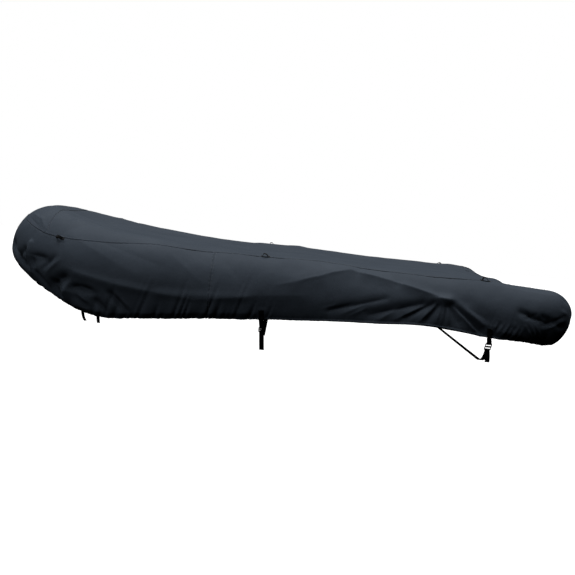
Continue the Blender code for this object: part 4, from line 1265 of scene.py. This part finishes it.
def rounded_outline(curve, width, height, radius):
    """A closed outline with round corners, as a straight-sided spline."""
    points = []
    for corner, (sx, sy) in enumerate(((1, 1), (-1, 1), (-1, -1), (1, -1))):
        centre = (sx * (width / 2 - radius), sy * (height / 2 - radius))
        for turn in np.linspace(corner * 90, corner * 90 + 90, 6).tolist():
            a = math.radians(turn)
            points.append((centre[0] + radius * math.cos(a), centre[1] + radius * math.sin(a)))
    spline = curve.splines.new("POLY")
    spline.points.add(len(points) - 1)
    for spot, (x, y) in zip(spline.points, points):
        spot.co = (x, y, 0, 1)
    spline.use_cyclic_u = True
    return spline


def buckle(name, x, sewn, angle):
    """A moulded frame with two windows and rounded edges, which lies along the roll."""
    centre, outward, up = buckle_frame(angle, x, sewn)
    curve = bpy.data.curves.new(f"{name}_buckle_outline", "CURVE")
    curve.dimensions = "2D"
    curve.fill_mode = "BOTH"
    curve.extrude = BUCKLE_SIZE[1] / 2 - BUCKLE_EDGE
    curve.bevel_depth = BUCKLE_EDGE
    curve.bevel_resolution = 2
    both = 2 * BUCKLE_EDGE
    width, height = BUCKLE_SIZE[0] - both, BUCKLE_SIZE[2] - both
    rounded_outline(curve, width, height, BUCKLE_CORNERS[0])
    window_y = BUCKLE_SIZE[2] / 2 - BUCKLE_BAR - BUCKLE_WINDOW[1] / 2
    for place in (window_y, -window_y):
        width, height = BUCKLE_WINDOW[0] + both, BUCKLE_WINDOW[1] + both
        window = rounded_outline(curve, width, height, BUCKLE_CORNERS[1])
        for spot in window.points:
            spot.co.y += place
    shape = bpy.data.objects.new(f"{name}_buckle_outline", curve)
    bpy.context.scene.collection.objects.link(shape)
    graph = bpy.context.evaluated_depsgraph_get()
    mesh = bpy.data.meshes.new_from_object(shape.evaluated_get(graph))
    bpy.data.objects.remove(shape)
    mesh.name = f"{name}_buckle_frame"
    turn = Matrix((outward.cross(up), up, -outward)).transposed()
    mesh.transform(Matrix.Translation(centre) @ turn.to_4x4())
    with edited(mesh) as bm:
        bmesh.ops.remove_doubles(bm, verts=bm.verts, dist=MERGE)
        bmesh.ops.recalc_face_normals(bm, faces=bm.faces)
    mesh.materials.clear()
    piece = link(
        f"{name}_buckle_frame", mesh, plastic_material(), [f"{name}_buckle"]
    )
    mesh.set_sharp_from_angle(angle=math.radians(35))
    return piece


def loop(name, along, past, span, width, rise, forward, slump):
    """A webbing loop: two feet sewn on the seam and an arch between them."""
    port = name.startswith("port")
    down = seam_at(along) + past
    _, normal = side_point(along, down, port)
    before = side_point(along - NORMAL_STEP, down, port)[0]
    after = side_point(along + NORMAL_STEP, down, port)[0]
    aft = (after - before).normalized()
    down_way = normal.cross(aft).normalized()
    if down_way.z > 0:
        down_way.negate()
    inner = span * (0.5 - LOOP_FOOT)
    arch = [(-span / 2, 0.0), (-inner - ARCH_GAP, 0.0)]
    for turn in np.linspace(180 - ARCH_START, ARCH_START, 9).tolist():
        turn = math.radians(turn)
        arch.append((inner * math.cos(turn), rise * math.sin(turn)))
    arch += [(inner + ARCH_GAP, 0.0), (span / 2, 0.0)]
    shift = down_way * slump - aft * forward
    route = []
    for t, height in arch:
        surface, out = side_point(along + t, down, port)
        route.append(surface + out * (WEBBING / 2 + 2 * CLEAR + height) + shift * height / rise)
    rows = strip_rows(route, [down_way] * len(route), width)
    for i in (0, 1, -2, -1):
        rows[i] = [pressed(point, normal) for point in rows[i]]
    stitched_box(f"{name}_fore_foot_stitching", rows[:2])
    stitched_box(f"{name}_aft_foot_stitching", rows[-2:])
    return webbing(f"{name}_webbing_loop", rows, f"{name}_loop", 0.0012)


def tie(name, along, length, turn, curl):
    """A tie sewn inside the bow hem, whose free end hangs plumb."""
    out = Vector((*crown_line(along)[1], 0))
    aft = Vector((-out.y, out.x, 0))
    rows = []
    for above_hem in (TIE_SEWN, 0.75 * TIE_SEWN, TIE_SEWN / 2, 0):
        rows.append(cloth_row(along, TIE_WIDTH, above_hem, True, inside=True))
    edge = rows[-1]
    for bend in np.linspace(0, math.pi / 2, 4).tolist():
        drop = Vector((0, 0, TIE_BEND * (1 - math.cos(bend))))
        shift = out * (TIE_PAST_HEM + TIE_BEND * math.sin(bend)) + drop
        rows.append([point - shift for point in edge])
    top = rows[-1][1]
    route, across = [], []
    for share in CURVE_STEPS:
        fall = length * share
        drift = aft * (STRAP_LEAN * fall + curl * share**3)
        route.append(top + drift - Vector((0, 0, fall)))
        swing = math.radians(turn) * float(eased(share * 2))
        across.append(Matrix.Rotation(swing, 3, "Z") @ aft)
    rows += strip_rows(route, across, TIE_WIDTH)
    return webbing(f"{name}_tie", rows, f"{name}_bow_tie")


# ---------------------------------------------------------------- stitching
def stitch_mesh(name, stitches):
    """Small stitches as one mesh. Each is a middle point, its way along and its way out."""
    points, faces = [], []
    for middle, way, out in stitches:
        across = way.cross(out).normalized() * STITCH_WIDTH / 2
        half, top = way * STITCH_LENGTH / 2, out * STITCH_WIDTH * 0.55
        first = len(points)
        for end in (-1, 1):
            points += [middle + half * end - across, middle + half * end + across]
        for end in (-1, 1):
            points.append(middle + half * end * 0.55 + top)
        for quad in ((0, 4, 5, 2), (1, 3, 5, 4), (0, 2, 3, 1)):
            faces.append([first + i for i in quad])
        faces += [[first, first + 1, first + 4], [first + 2, first + 5, first + 3]]
    mesh = bpy.data.meshes.new(name)
    mesh.from_pydata(points, [], faces)
    with edited(mesh) as bm:
        bmesh.ops.recalc_face_normals(bm, faces=bm.faces)
    return link(name, mesh, thread_material(), [])


def stitches_along(line, outs):
    """Stitches at an even pitch along a line of points with their ways out."""
    line = np.array([tuple(point) for point in line])
    outs = np.array([tuple(out) for out in outs])
    run = running(np.linalg.norm(np.diff(line, axis=0), axis=1))
    found = []
    for place in np.arange(STITCH_PITCH / 2, run[-1], STITCH_PITCH).tolist():
        ends = []
        for spot in (place - STITCH_PITCH / 4, place + STITCH_PITCH / 4):
            ends.append(Vector([float(np.interp(spot, run, line[:, k])) for k in range(3)]))
        out = Vector([float(np.interp(place, run, outs[:, k])) for k in range(3)]).normalized()
        way = ends[1] - ends[0]
        if way.length > 1e-7:
            found.append(((ends[0] + ends[1]) / 2, way.normalized(), out))
    return found


def on_cloth(point, away):
    """The point moved on to the panels' outer face."""
    start = point + away * PRESS_FROM
    hit = cloth_bed().ray_cast(start, -away, 2 * PRESS_FROM)[0]
    return hit if hit else point


def stitched_box(name, rows):
    """A stitched box with a cross on webbing, given its rows of three points."""
    first, last = rows[0], rows[-1]
    middle = (first[1] + last[1]) / 2
    across = (first[2] - first[0]).normalized()
    way = (last[1] - first[1]).normalized()
    out = across.cross(way).normalized()
    if out.dot(first[1] - side_axis(first[1])) < 0:
        out.negate()
    half_w = (first[2] - first[0]).length / 2 - BOX_MARGINS[0]
    half_l = (last[1] - first[1]).length / 2 - BOX_MARGINS[1]
    corners = []
    for su, sv in ((-1, -1), (1, -1), (1, 1), (-1, 1)):
        corners.append(middle + across * half_w * su + way * half_l * sv)
    lift = out * WEBBING * 0.5
    paths = [[*corners, corners[0]], [corners[0], corners[2]], [corners[1], corners[3]]]
    stitches = []
    for path in paths:
        for start, end in zip(path, path[1:]):
            stitches += stitches_along([start + lift, end + lift], [out, out])
    return stitch_mesh(name, stitches)


def side_axis(point):
    """The middle of the side roll that a point belongs to."""
    y = -HALF_SPAN if point.y < 0 else HALF_SPAN
    return Vector((max(point.x, BOW_BEND_X), y, column("flank", point.x)))


def cloth_line(places, port):
    """A line that stitches follow through places of the cloth, (along, down) each, and
    the ways out there."""
    line, outs = [], []
    for along, down in places:
        point, out = side_point(along, down, port)
        line.append(on_cloth(point, out))
        outs.append(out)
    return line, outs


def seam_lines():
    """Lines of stitching: the long seams, cap seam, side seams and above the hem."""
    lines = {"long_seam": [], "cap_seam": [], "side_seam": [], "hem": []}
    long_seam = spaced(LONG_SEAM_START, SOCK_START - STERN_X + TRANSOM_X, SEAM_STEP).tolist()
    side_seam = spaced(seam_at(SIDE_SEAM), girth_at(SIDE_SEAM) - HEM_ROLL, SEAM_STEP).tolist()
    hem = spaced(0, SOCK_END - HEM_STITCH_END, SEAM_STEP).tolist()
    for port in (True, False):
        for offset in STITCH_ROWS:
            places = [(along, seam_at(along) + offset) for along in long_seam]
            lines["long_seam"].append(cloth_line(places, port))
            places = [(SIDE_SEAM + offset, down) for down in side_seam]
            lines["side_seam"].append(cloth_line(places, port))
        places = [(along, girth_at(along) - HEM_ROLL - HEM_STITCHES) for along in hem]
        lines["hem"].append(cloth_line(places, port))
    up = Vector((0, 0, 1))
    rims = np.array([rim_place(along, True) for along in spaced(0, SOCK_START, 0.01).tolist()])
    half = -float(np.interp(CAP_SEAM_X, rims[:, 0], rims[:, 1]))
    for offset in STITCH_ROWS:
        line = []
        for y in spaced(-half, half, SEAM_STEP).tolist():
            point = top_base(CAP_SEAM_X + offset, y)[0]
            line.append(on_cloth(Vector(point), up))
        lines["cap_seam"].append((line, [up] * len(line)))
    return lines


def seam_stitching():
    """The stitches of each kind of seam, as one piece for each."""
    for name, lines in seam_lines().items():
        stitches = []
        for line, outs in lines:
            stitches += stitches_along(line, outs)
        stitch_mesh(f"{name}_stitching", stitches)


# ---------------------------------------------------------------- shared shader effects
def new_group(name, inputs, outputs):
    """An empty shader group with named sockets, (name, socket type, default) each, and
    its two end nodes."""
    group = bpy.data.node_groups.new(name, "ShaderNodeTree")
    for direction, sockets in (("INPUT", inputs), ("OUTPUT", outputs)):
        for label, kind, default in sockets:
            socket = group.interface.new_socket(label, in_out=direction, socket_type=kind)
            if default is not None:
                socket.default_value = default
    ends = group.nodes.new("NodeGroupInput"), group.nodes.new("NodeGroupOutput")
    return group, *ends


def math_node(tree, operation, *values):
    """The result of a Math node on numbers or other nodes' outputs."""
    node = tree.nodes.new("ShaderNodeMath")
    node.operation = operation
    for socket, value in zip(node.inputs, values):
        if isinstance(value, (int, float)):
            socket.default_value = value
        else:
            tree.links.new(value, socket)
    return node.outputs[0]


@lru_cache(maxsize=None)
def weave_group():
    """Crossing threads from texture places in metres, as a height."""
    tree, start, end = new_group(
        "crossing_threads",
        (("Threads per metre", "NodeSocketFloat", 900.0), ("Slant", "NodeSocketFloat", 1.0)),
        (("Height", "NodeSocketFloat", None),),
    )
    places = tree.nodes.new("ShaderNodeUVMap")
    places.uv_map = "metres"
    split = tree.nodes.new("ShaderNodeSeparateXYZ")
    tree.links.new(places.outputs[0], split.inputs[0])
    turns = math_node(tree, "MULTIPLY", start.outputs[0], 2 * math.pi)
    u = math_node(tree, "MULTIPLY", split.outputs["X"], turns)
    v = math_node(tree, "MULTIPLY", split.outputs["Y"], turns)
    slanted = math_node(tree, "MULTIPLY", u, start.outputs[1])
    one = math_node(tree, "SINE", math_node(tree, "ADD", slanted, v))
    two = math_node(tree, "SINE", math_node(tree, "SUBTRACT", u, v))
    crossed = math_node(tree, "MULTIPLY", one, two)
    height = math_node(tree, "MULTIPLY_ADD", crossed, 0.5, 0.5)
    tree.links.new(height, end.inputs[0])
    return tree


@lru_cache(maxsize=None)
def handling_group():
    """Uneven wear of handled cloth: a slow mottle and a fine crinkle."""
    tree, start, end = new_group(
        "handled_cloth",
        (
            ("Base", "NodeSocketColor", (0.03, 0.03, 0.03, 1)),
            ("Worn", "NodeSocketColor", (0.04, 0.04, 0.04, 1)),
            ("Mottle Scale", "NodeSocketFloat", 5.0),
            ("Crinkle Scale", "NodeSocketFloat", 55.0),
            ("Roughness", "NodeSocketFloat", 0.6),
        ),
        (
            ("Color", "NodeSocketColor", None),
            ("Roughness", "NodeSocketFloat", None),
            ("Height", "NodeSocketFloat", None),
        ),
    )
    coords = tree.nodes.new("ShaderNodeTexCoord")
    noises = []
    for scale, detail in ((start.outputs[2], 5.0), (start.outputs[3], 4.0)):
        noise = tree.nodes.new("ShaderNodeTexNoise")
        noise.inputs["Detail"].default_value = detail
        tree.links.new(coords.outputs["Object"], noise.inputs["Vector"])
        tree.links.new(scale, noise.inputs["Scale"])
        noises.append(noise.outputs["Fac"])
    mottle = math_node(tree, "MULTIPLY_ADD", noises[0], 2.2, -0.6)
    mottle.node.use_clamp = True
    speck = math_node(tree, "MULTIPLY_ADD", noises[1], 0.5, -0.1)
    share = math_node(tree, "ADD", mottle, speck)
    share = math_node(tree, "MULTIPLY", share, 0.75)
    mix = tree.nodes.new("ShaderNodeMix")
    mix.data_type = "RGBA"
    tree.links.new(share, mix.inputs["Factor"])
    tree.links.new(start.outputs[0], mix.inputs["A"])
    tree.links.new(start.outputs[1], mix.inputs["B"])
    rough = math_node(tree, "MULTIPLY_ADD", noises[0], -0.16, 0.08)
    rough = math_node(tree, "ADD", rough, start.outputs[4])
    tree.links.new(mix.outputs["Result"], end.inputs[0])
    tree.links.new(rough, end.inputs[1])
    tree.links.new(noises[1], end.inputs[2])
    return tree


def new_material(name):
    """A new material, its node tree and its shader."""
    made = bpy.data.materials.new(name)
    made.use_nodes = True
    return made, made.node_tree, made.node_tree.nodes["Principled BSDF"]


def handled_material(name, base, worn, roughness, mottle, crinkle):
    """A material with the wear of handled cloth: itself, its node tree, its shader and
    the height of the wear."""
    made, tree, shader = new_material(name)
    wear = tree.nodes.new("ShaderNodeGroup")
    wear.node_tree = handling_group()
    wear.inputs["Base"].default_value = colour(base)
    wear.inputs["Worn"].default_value = colour(worn)
    wear.inputs["Mottle Scale"].default_value = mottle
    wear.inputs["Crinkle Scale"].default_value = crinkle
    wear.inputs["Roughness"].default_value = roughness
    tree.links.new(wear.outputs["Color"], shader.inputs["Base Color"])
    tree.links.new(wear.outputs["Roughness"], shader.inputs["Roughness"])
    return made, tree, shader, wear.outputs["Height"]


def threads(tree, per_metre, slant):
    """The height of crossing threads."""
    weave = tree.nodes.new("ShaderNodeGroup")
    weave.node_tree = weave_group()
    weave.inputs["Threads per metre"].default_value = per_metre
    weave.inputs["Slant"].default_value = slant
    return weave.outputs["Height"]


def bumped(tree, shader, heights):
    """Bumps one on the other: (height socket, distance in metres, strength)."""
    normal = None
    for height, distance, strength in heights:
        bump = tree.nodes.new("ShaderNodeBump")
        bump.inputs["Distance"].default_value = distance
        bump.inputs["Strength"].default_value = strength
        tree.links.new(height, bump.inputs["Height"])
        if normal:
            tree.links.new(normal, bump.inputs["Normal"])
        normal = bump.outputs["Normal"]
    tree.links.new(normal, shader.inputs["Normal"])


def colour(value):
    """A colour with full alpha."""
    return (*value[:3], 1.0)


def lighter(value, times):
    return [times * channel for channel in value]


@lru_cache(maxsize=None)
def cloth_material():
    """Coated woven cloth: dark blue-grey, with a soft sheen and faint crinkles."""
    looks = bpy.context.scene.cover_colours
    made, tree, shader, wear = handled_material(
        "coated_cloth", looks.cloth, looks.cloth_worn, looks.cloth_roughness, 4.0, 48.0
    )
    shader.inputs["Specular IOR Level"].default_value = 0.04
    shader.inputs["Sheen Weight"].default_value = 0.02
    shader.inputs["Sheen Roughness"].default_value = 0.45
    shader.inputs["Sheen Tint"].default_value = (0.72, 0.86, 1.0, 1.0)
    weave = threads(tree, 720.0, 1.0)
    bumped(tree, shader, [(wear, 0.0022, 0.35), (weave, 0.00022, 0.5)])
    return made


@lru_cache(maxsize=None)
def webbing_material():
    """Black webbing with a slanting weave."""
    black = bpy.context.scene.cover_colours.webbing
    made, tree, shader, wear = handled_material(
        "woven_webbing", black, lighter(black, 1.5), 0.62, 30.0, 400.0
    )
    shader.inputs["Specular IOR Level"].default_value = 0.05
    weave = threads(tree, 420.0, 0.45)
    bumped(tree, shader, [(wear, 0.0003, 0.3), (weave, 0.0005, 0.8)])
    return made


@lru_cache(maxsize=None)
def plastic_material():
    """Black moulded plastic, satin and slightly scuffed."""
    black = bpy.context.scene.cover_colours.plastic
    made, tree, shader, wear = handled_material(
        "moulded_plastic", black, lighter(black, 1.8), 0.42, 60.0, 900.0
    )
    shader.inputs["Specular IOR Level"].default_value = 0.3
    bumped(tree, shader, [(wear, 0.0001, 0.4)])
    return made


@lru_cache(maxsize=None)
def thread_material():
    """Bonded sewing thread, in a dark shade of the cloth's colour."""
    dark = bpy.context.scene.cover_colours.thread
    made, tree, shader, wear = handled_material(
        "sewing_thread", dark, lighter(dark, 1.5), 0.55, 40.0, 1500.0
    )
    bumped(tree, shader, [(wear, 0.0001, 0.3)])
    return made


# ---------------------------------------------------------------- stage
PHOTO_WIDTH = 575  # pixels
FOCAL_PIXELS = 770.0
LEVEL_POINT = (290.0, 210.0)  # where level lines straight across the view meet, in pixels
CAMERA_ROLL = 5.5  # degrees: the cover's bow end is up in the picture
CAMERA_PLACE = (0.0555, -4.55, 0.256)
OVERHEAD_PLACE = (-0.2, 0.9, 6)
SIDE_PLACE = (-2.2, -3.2, 2.0)
SIDE_TARGET = (-0.3, -0.7, -0.1)


def camera():
    """The camera at the photo's angle: a little above the cover, from its port side."""
    middle = PHOTO_WIDTH / 2
    pitch = math.atan((middle - LEVEL_POINT[1]) / FOCAL_PIXELS)
    yaw = math.atan((LEVEL_POINT[0] - middle) / FOCAL_PIXELS)
    look = Matrix.Rotation(yaw, 4, "Z") @ Matrix.Rotation(math.pi / 2 - pitch, 4, "X")
    roll = Matrix.Rotation(-math.radians(CAMERA_ROLL), 4, "Y")
    lens = bpy.data.cameras.new("camera")
    lens.sensor_width = 36.0
    lens.lens = FOCAL_PIXELS / PHOTO_WIDTH * lens.sensor_width
    lens.clip_end = 200.0
    eye = bpy.data.objects.new("camera", lens)
    bpy.context.scene.collection.objects.link(eye)
    eye.matrix_world = Matrix.Translation(CAMERA_PLACE) @ roll @ look
    bpy.context.scene.camera = eye


def floor():
    """A wide pale floor well below the cover."""
    looks = bpy.context.scene.cover_stage
    mesh = bpy.data.meshes.new("floor")
    with edited(mesh) as bm:
        bmesh.ops.create_grid(bm, x_segments=1, y_segments=1, size=60)
    ground = bpy.data.objects.new("floor", mesh)
    bpy.context.scene.collection.objects.link(ground)
    ground.location.z = looks.floor_height
    made, _, shader = new_material("pale_floor")
    shader.inputs["Base Color"].default_value = colour(looks.floor)
    shader.inputs["Roughness"].default_value = 0.9
    mesh.materials.append(made)
    ground.visible_diffuse = False
    ground.visible_glossy = False
    ground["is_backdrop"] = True


def lamp(name, kind, energy, place, target, **settings):
    """A light at a place, aimed at a target."""
    light = bpy.data.lights.new(name, kind)
    light.energy = energy
    for key, value in settings.items():
        setattr(light, key, value)
    made = bpy.data.objects.new(name, light)
    bpy.context.scene.collection.objects.link(made)
    made.location = place
    made.rotation_euler = (Vector(target) - Vector(place)).to_track_quat("-Z", "Y").to_euler()
    return made


def lights():
    """A broad soft light overhead, a weak one beside the bow and a white surround."""
    looks = bpy.context.scene.cover_stage
    lamp("overhead", "SUN", looks.overhead, OVERHEAD_PLACE, (0, 0, 0), angle=math.radians(70))
    side = lamp("side", "AREA", looks.side, SIDE_PLACE, SIDE_TARGET, size=2.0)
    side.visible_camera = False
    world = bpy.data.worlds.new("surround")
    world.use_nodes = True
    back = world.node_tree.nodes["Background"]
    back.inputs["Color"].default_value = (1, 1, 1, 1)
    back.inputs["Strength"].default_value = 1.0
    world.cycles_visibility.diffuse = False
    world.cycles_visibility.glossy = False
    bpy.context.scene.world = world
    bpy.context.scene.view_settings.view_transform = "Standard"


# ---------------------------------------------------------------- what a user may change
def measure(name, description, default):
    return FloatProperty(name=name, description=description, unit="LENGTH", default=default)


def shade(name, description, default):
    return FloatVectorProperty(
        name=name, description=description, subtype="COLOR", size=3, min=0, max=1, default=default
    )


class CoverSizes(bpy.types.PropertyGroup):
    """Sizes of the fine sheets."""

    cloth: measure("Cloth", "Thickness of the cloth", 0.0008)
    near_pitch: measure("Near pitch", "Grid of the bow and port side", 0.0065)
    far_pitch: measure("Far pitch", "Grid of the starboard side", 0.009)
    top_pitch: measure("Top pitch", "Grid of the top along the cover", 0.011)


class CoverColours(bpy.types.PropertyGroup):
    """Colours of the cover's materials."""

    cloth: shade("Cloth", "Coated cloth", (0.0225, 0.0290, 0.0385))
    cloth_worn: shade("Worn cloth", "Coated cloth where it is handled", (0.0295, 0.0375, 0.0490))
    cloth_roughness: FloatProperty(
        name="Cloth roughness", description="Mean roughness of the cloth", default=0.66
    )
    webbing: shade("Webbing", "Woven webbing", (0.0028, 0.0028, 0.0033))
    plastic: shade("Plastic", "Moulded buckles", (0.0080, 0.0080, 0.0088))
    thread: shade("Thread", "Sewing thread", (0.010, 0.012, 0.016))


class CoverStage(bpy.types.PropertyGroup):
    """The studio round the cover."""

    floor: shade("Floor", "Pale floor", (0.80, 0.80, 0.80))
    floor_height: measure("Floor height", "Height of the floor", -3.4)
    overhead: FloatProperty(
        name="Overhead", description="Strength of the overhead light", default=5.5
    )
    side: FloatProperty(name="Side", description="Power of the light beside the bow", default=44.0)


# ---------------------------------------------------------------- operators and panel
class COVER_OT_stage(bpy.types.Operator):
    """Make the camera, the floor and the lights."""

    bl_idname = "cover.stage"
    bl_label = "Stage"

    def execute(self, context):
        camera()
        floor()
        lights()
        return {"FINISHED"}


class COVER_OT_top_panel(bpy.types.Operator):
    """Make the cloth of the top panel."""

    bl_idname = "cover.top_panel"
    bl_label = "Top Panel"

    def execute(self, context):
        top_panel()
        return {"FINISHED"}


class COVER_OT_bow_cap(bpy.types.Operator):
    """Make the cloth of the bow cap."""

    bl_idname = "cover.bow_cap"
    bl_label = "Bow Cap"

    def execute(self, context):
        bow_cap()
        return {"FINISHED"}


class COVER_OT_bow_panel(bpy.types.Operator):
    """Make the cloth that wraps round the bow."""

    bl_idname = "cover.bow_panel"
    bl_label = "Bow Panel"

    def execute(self, context):
        bow_panel()
        return {"FINISHED"}


class COVER_OT_side_panels(bpy.types.Operator):
    """Make the cloth of both sides."""

    bl_idname = "cover.side_panels"
    bl_label = "Side Panels"

    def execute(self, context):
        side_panel(True)
        side_panel(False)
        return {"FINISHED"}


class COVER_OT_stern_panel(bpy.types.Operator):
    """Make the cloth across the stern."""

    bl_idname = "cover.stern_panel"
    bl_label = "Stern Panel"

    def execute(self, context):
        stern_panel()
        return {"FINISHED"}


class COVER_OT_loops(bpy.types.Operator):
    """Make the six webbing loops on the long seams."""

    bl_idname = "cover.loops"
    bl_label = "Loops"

    def execute(self, context):
        for row in LOOPS:
            loop(*row)
        return {"FINISHED"}


class COVER_OT_straps(bpy.types.Operator):
    """Make the short and the long part of each belly strap."""

    bl_idname = "cover.straps"
    bl_label = "Straps"

    def execute(self, context):
        for name, x, sewn, angle, tail in STRAPS:
            anchor_strap(name, x, sewn, angle)
            belly_strap(name, x, sewn, angle, tail)
        return {"FINISHED"}


class COVER_OT_buckles(bpy.types.Operator):
    """Make the buckle of each belly strap."""

    bl_idname = "cover.buckles"
    bl_label = "Buckles"

    def execute(self, context):
        for name, x, sewn, angle, _ in STRAPS:
            buckle(name, x, sewn, angle)
        return {"FINISHED"}


class COVER_OT_ties(bpy.types.Operator):
    """Make the two ties below the bow."""

    bl_idname = "cover.ties"
    bl_label = "Ties"

    def execute(self, context):
        for row in TIES:
            tie(*row)
        return {"FINISHED"}


class COVER_OT_stitching(bpy.types.Operator):
    """Make the stitching of the seams and the hem."""

    bl_idname = "cover.stitching"
    bl_label = "Stitching"

    def execute(self, context):
        seam_stitching()
        return {"FINISHED"}


OPERATORS = (
    COVER_OT_stage,
    COVER_OT_top_panel,
    COVER_OT_bow_cap,
    COVER_OT_bow_panel,
    COVER_OT_side_panels,
    COVER_OT_stern_panel,
    COVER_OT_loops,
    COVER_OT_straps,
    COVER_OT_buckles,
    COVER_OT_ties,
    COVER_OT_stitching,
)


class COVER_PT_looks(bpy.types.Panel):
    """The steps that dress the boat cover."""

    bl_label = "Boat Cover"
    bl_space_type = "VIEW_3D"
    bl_region_type = "UI"
    bl_category = "Boat Cover"

    def draw(self, context):
        for step in OPERATORS:
            self.layout.operator(step.bl_idname)
        for group in ("cover_sizes", "cover_colours", "cover_stage"):
            held = getattr(context.scene, group)
            for key in held.__annotations__:
                self.layout.prop(held, key)


GROUPS = {"cover_sizes": CoverSizes, "cover_colours": CoverColours, "cover_stage": CoverStage}


def register():
    for held in (*GROUPS.values(), *OPERATORS, COVER_PT_looks):
        bpy.utils.register_class(held)
    for name, group in GROUPS.items():
        setattr(bpy.types.Scene, name, PointerProperty(type=group))


def unregister():
    for name in GROUPS:
        delattr(bpy.types.Scene, name)
    for held in (COVER_PT_looks, *reversed(OPERATORS), *reversed(GROUPS.values())):
        bpy.utils.unregister_class(held)


def main():
    """Makes every piece in order."""
    register()
    bpy.ops.cover.stage()
    bpy.ops.cover.top_panel()
    bpy.ops.cover.bow_cap()
    bpy.ops.cover.bow_panel()
    bpy.ops.cover.side_panels()
    bpy.ops.cover.stern_panel()
    bpy.ops.cover.loops()
    bpy.ops.cover.straps()
    bpy.ops.cover.buckles()
    bpy.ops.cover.ties()
    bpy.ops.cover.stitching()
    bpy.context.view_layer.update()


if __name__ == "__main__":
    main()
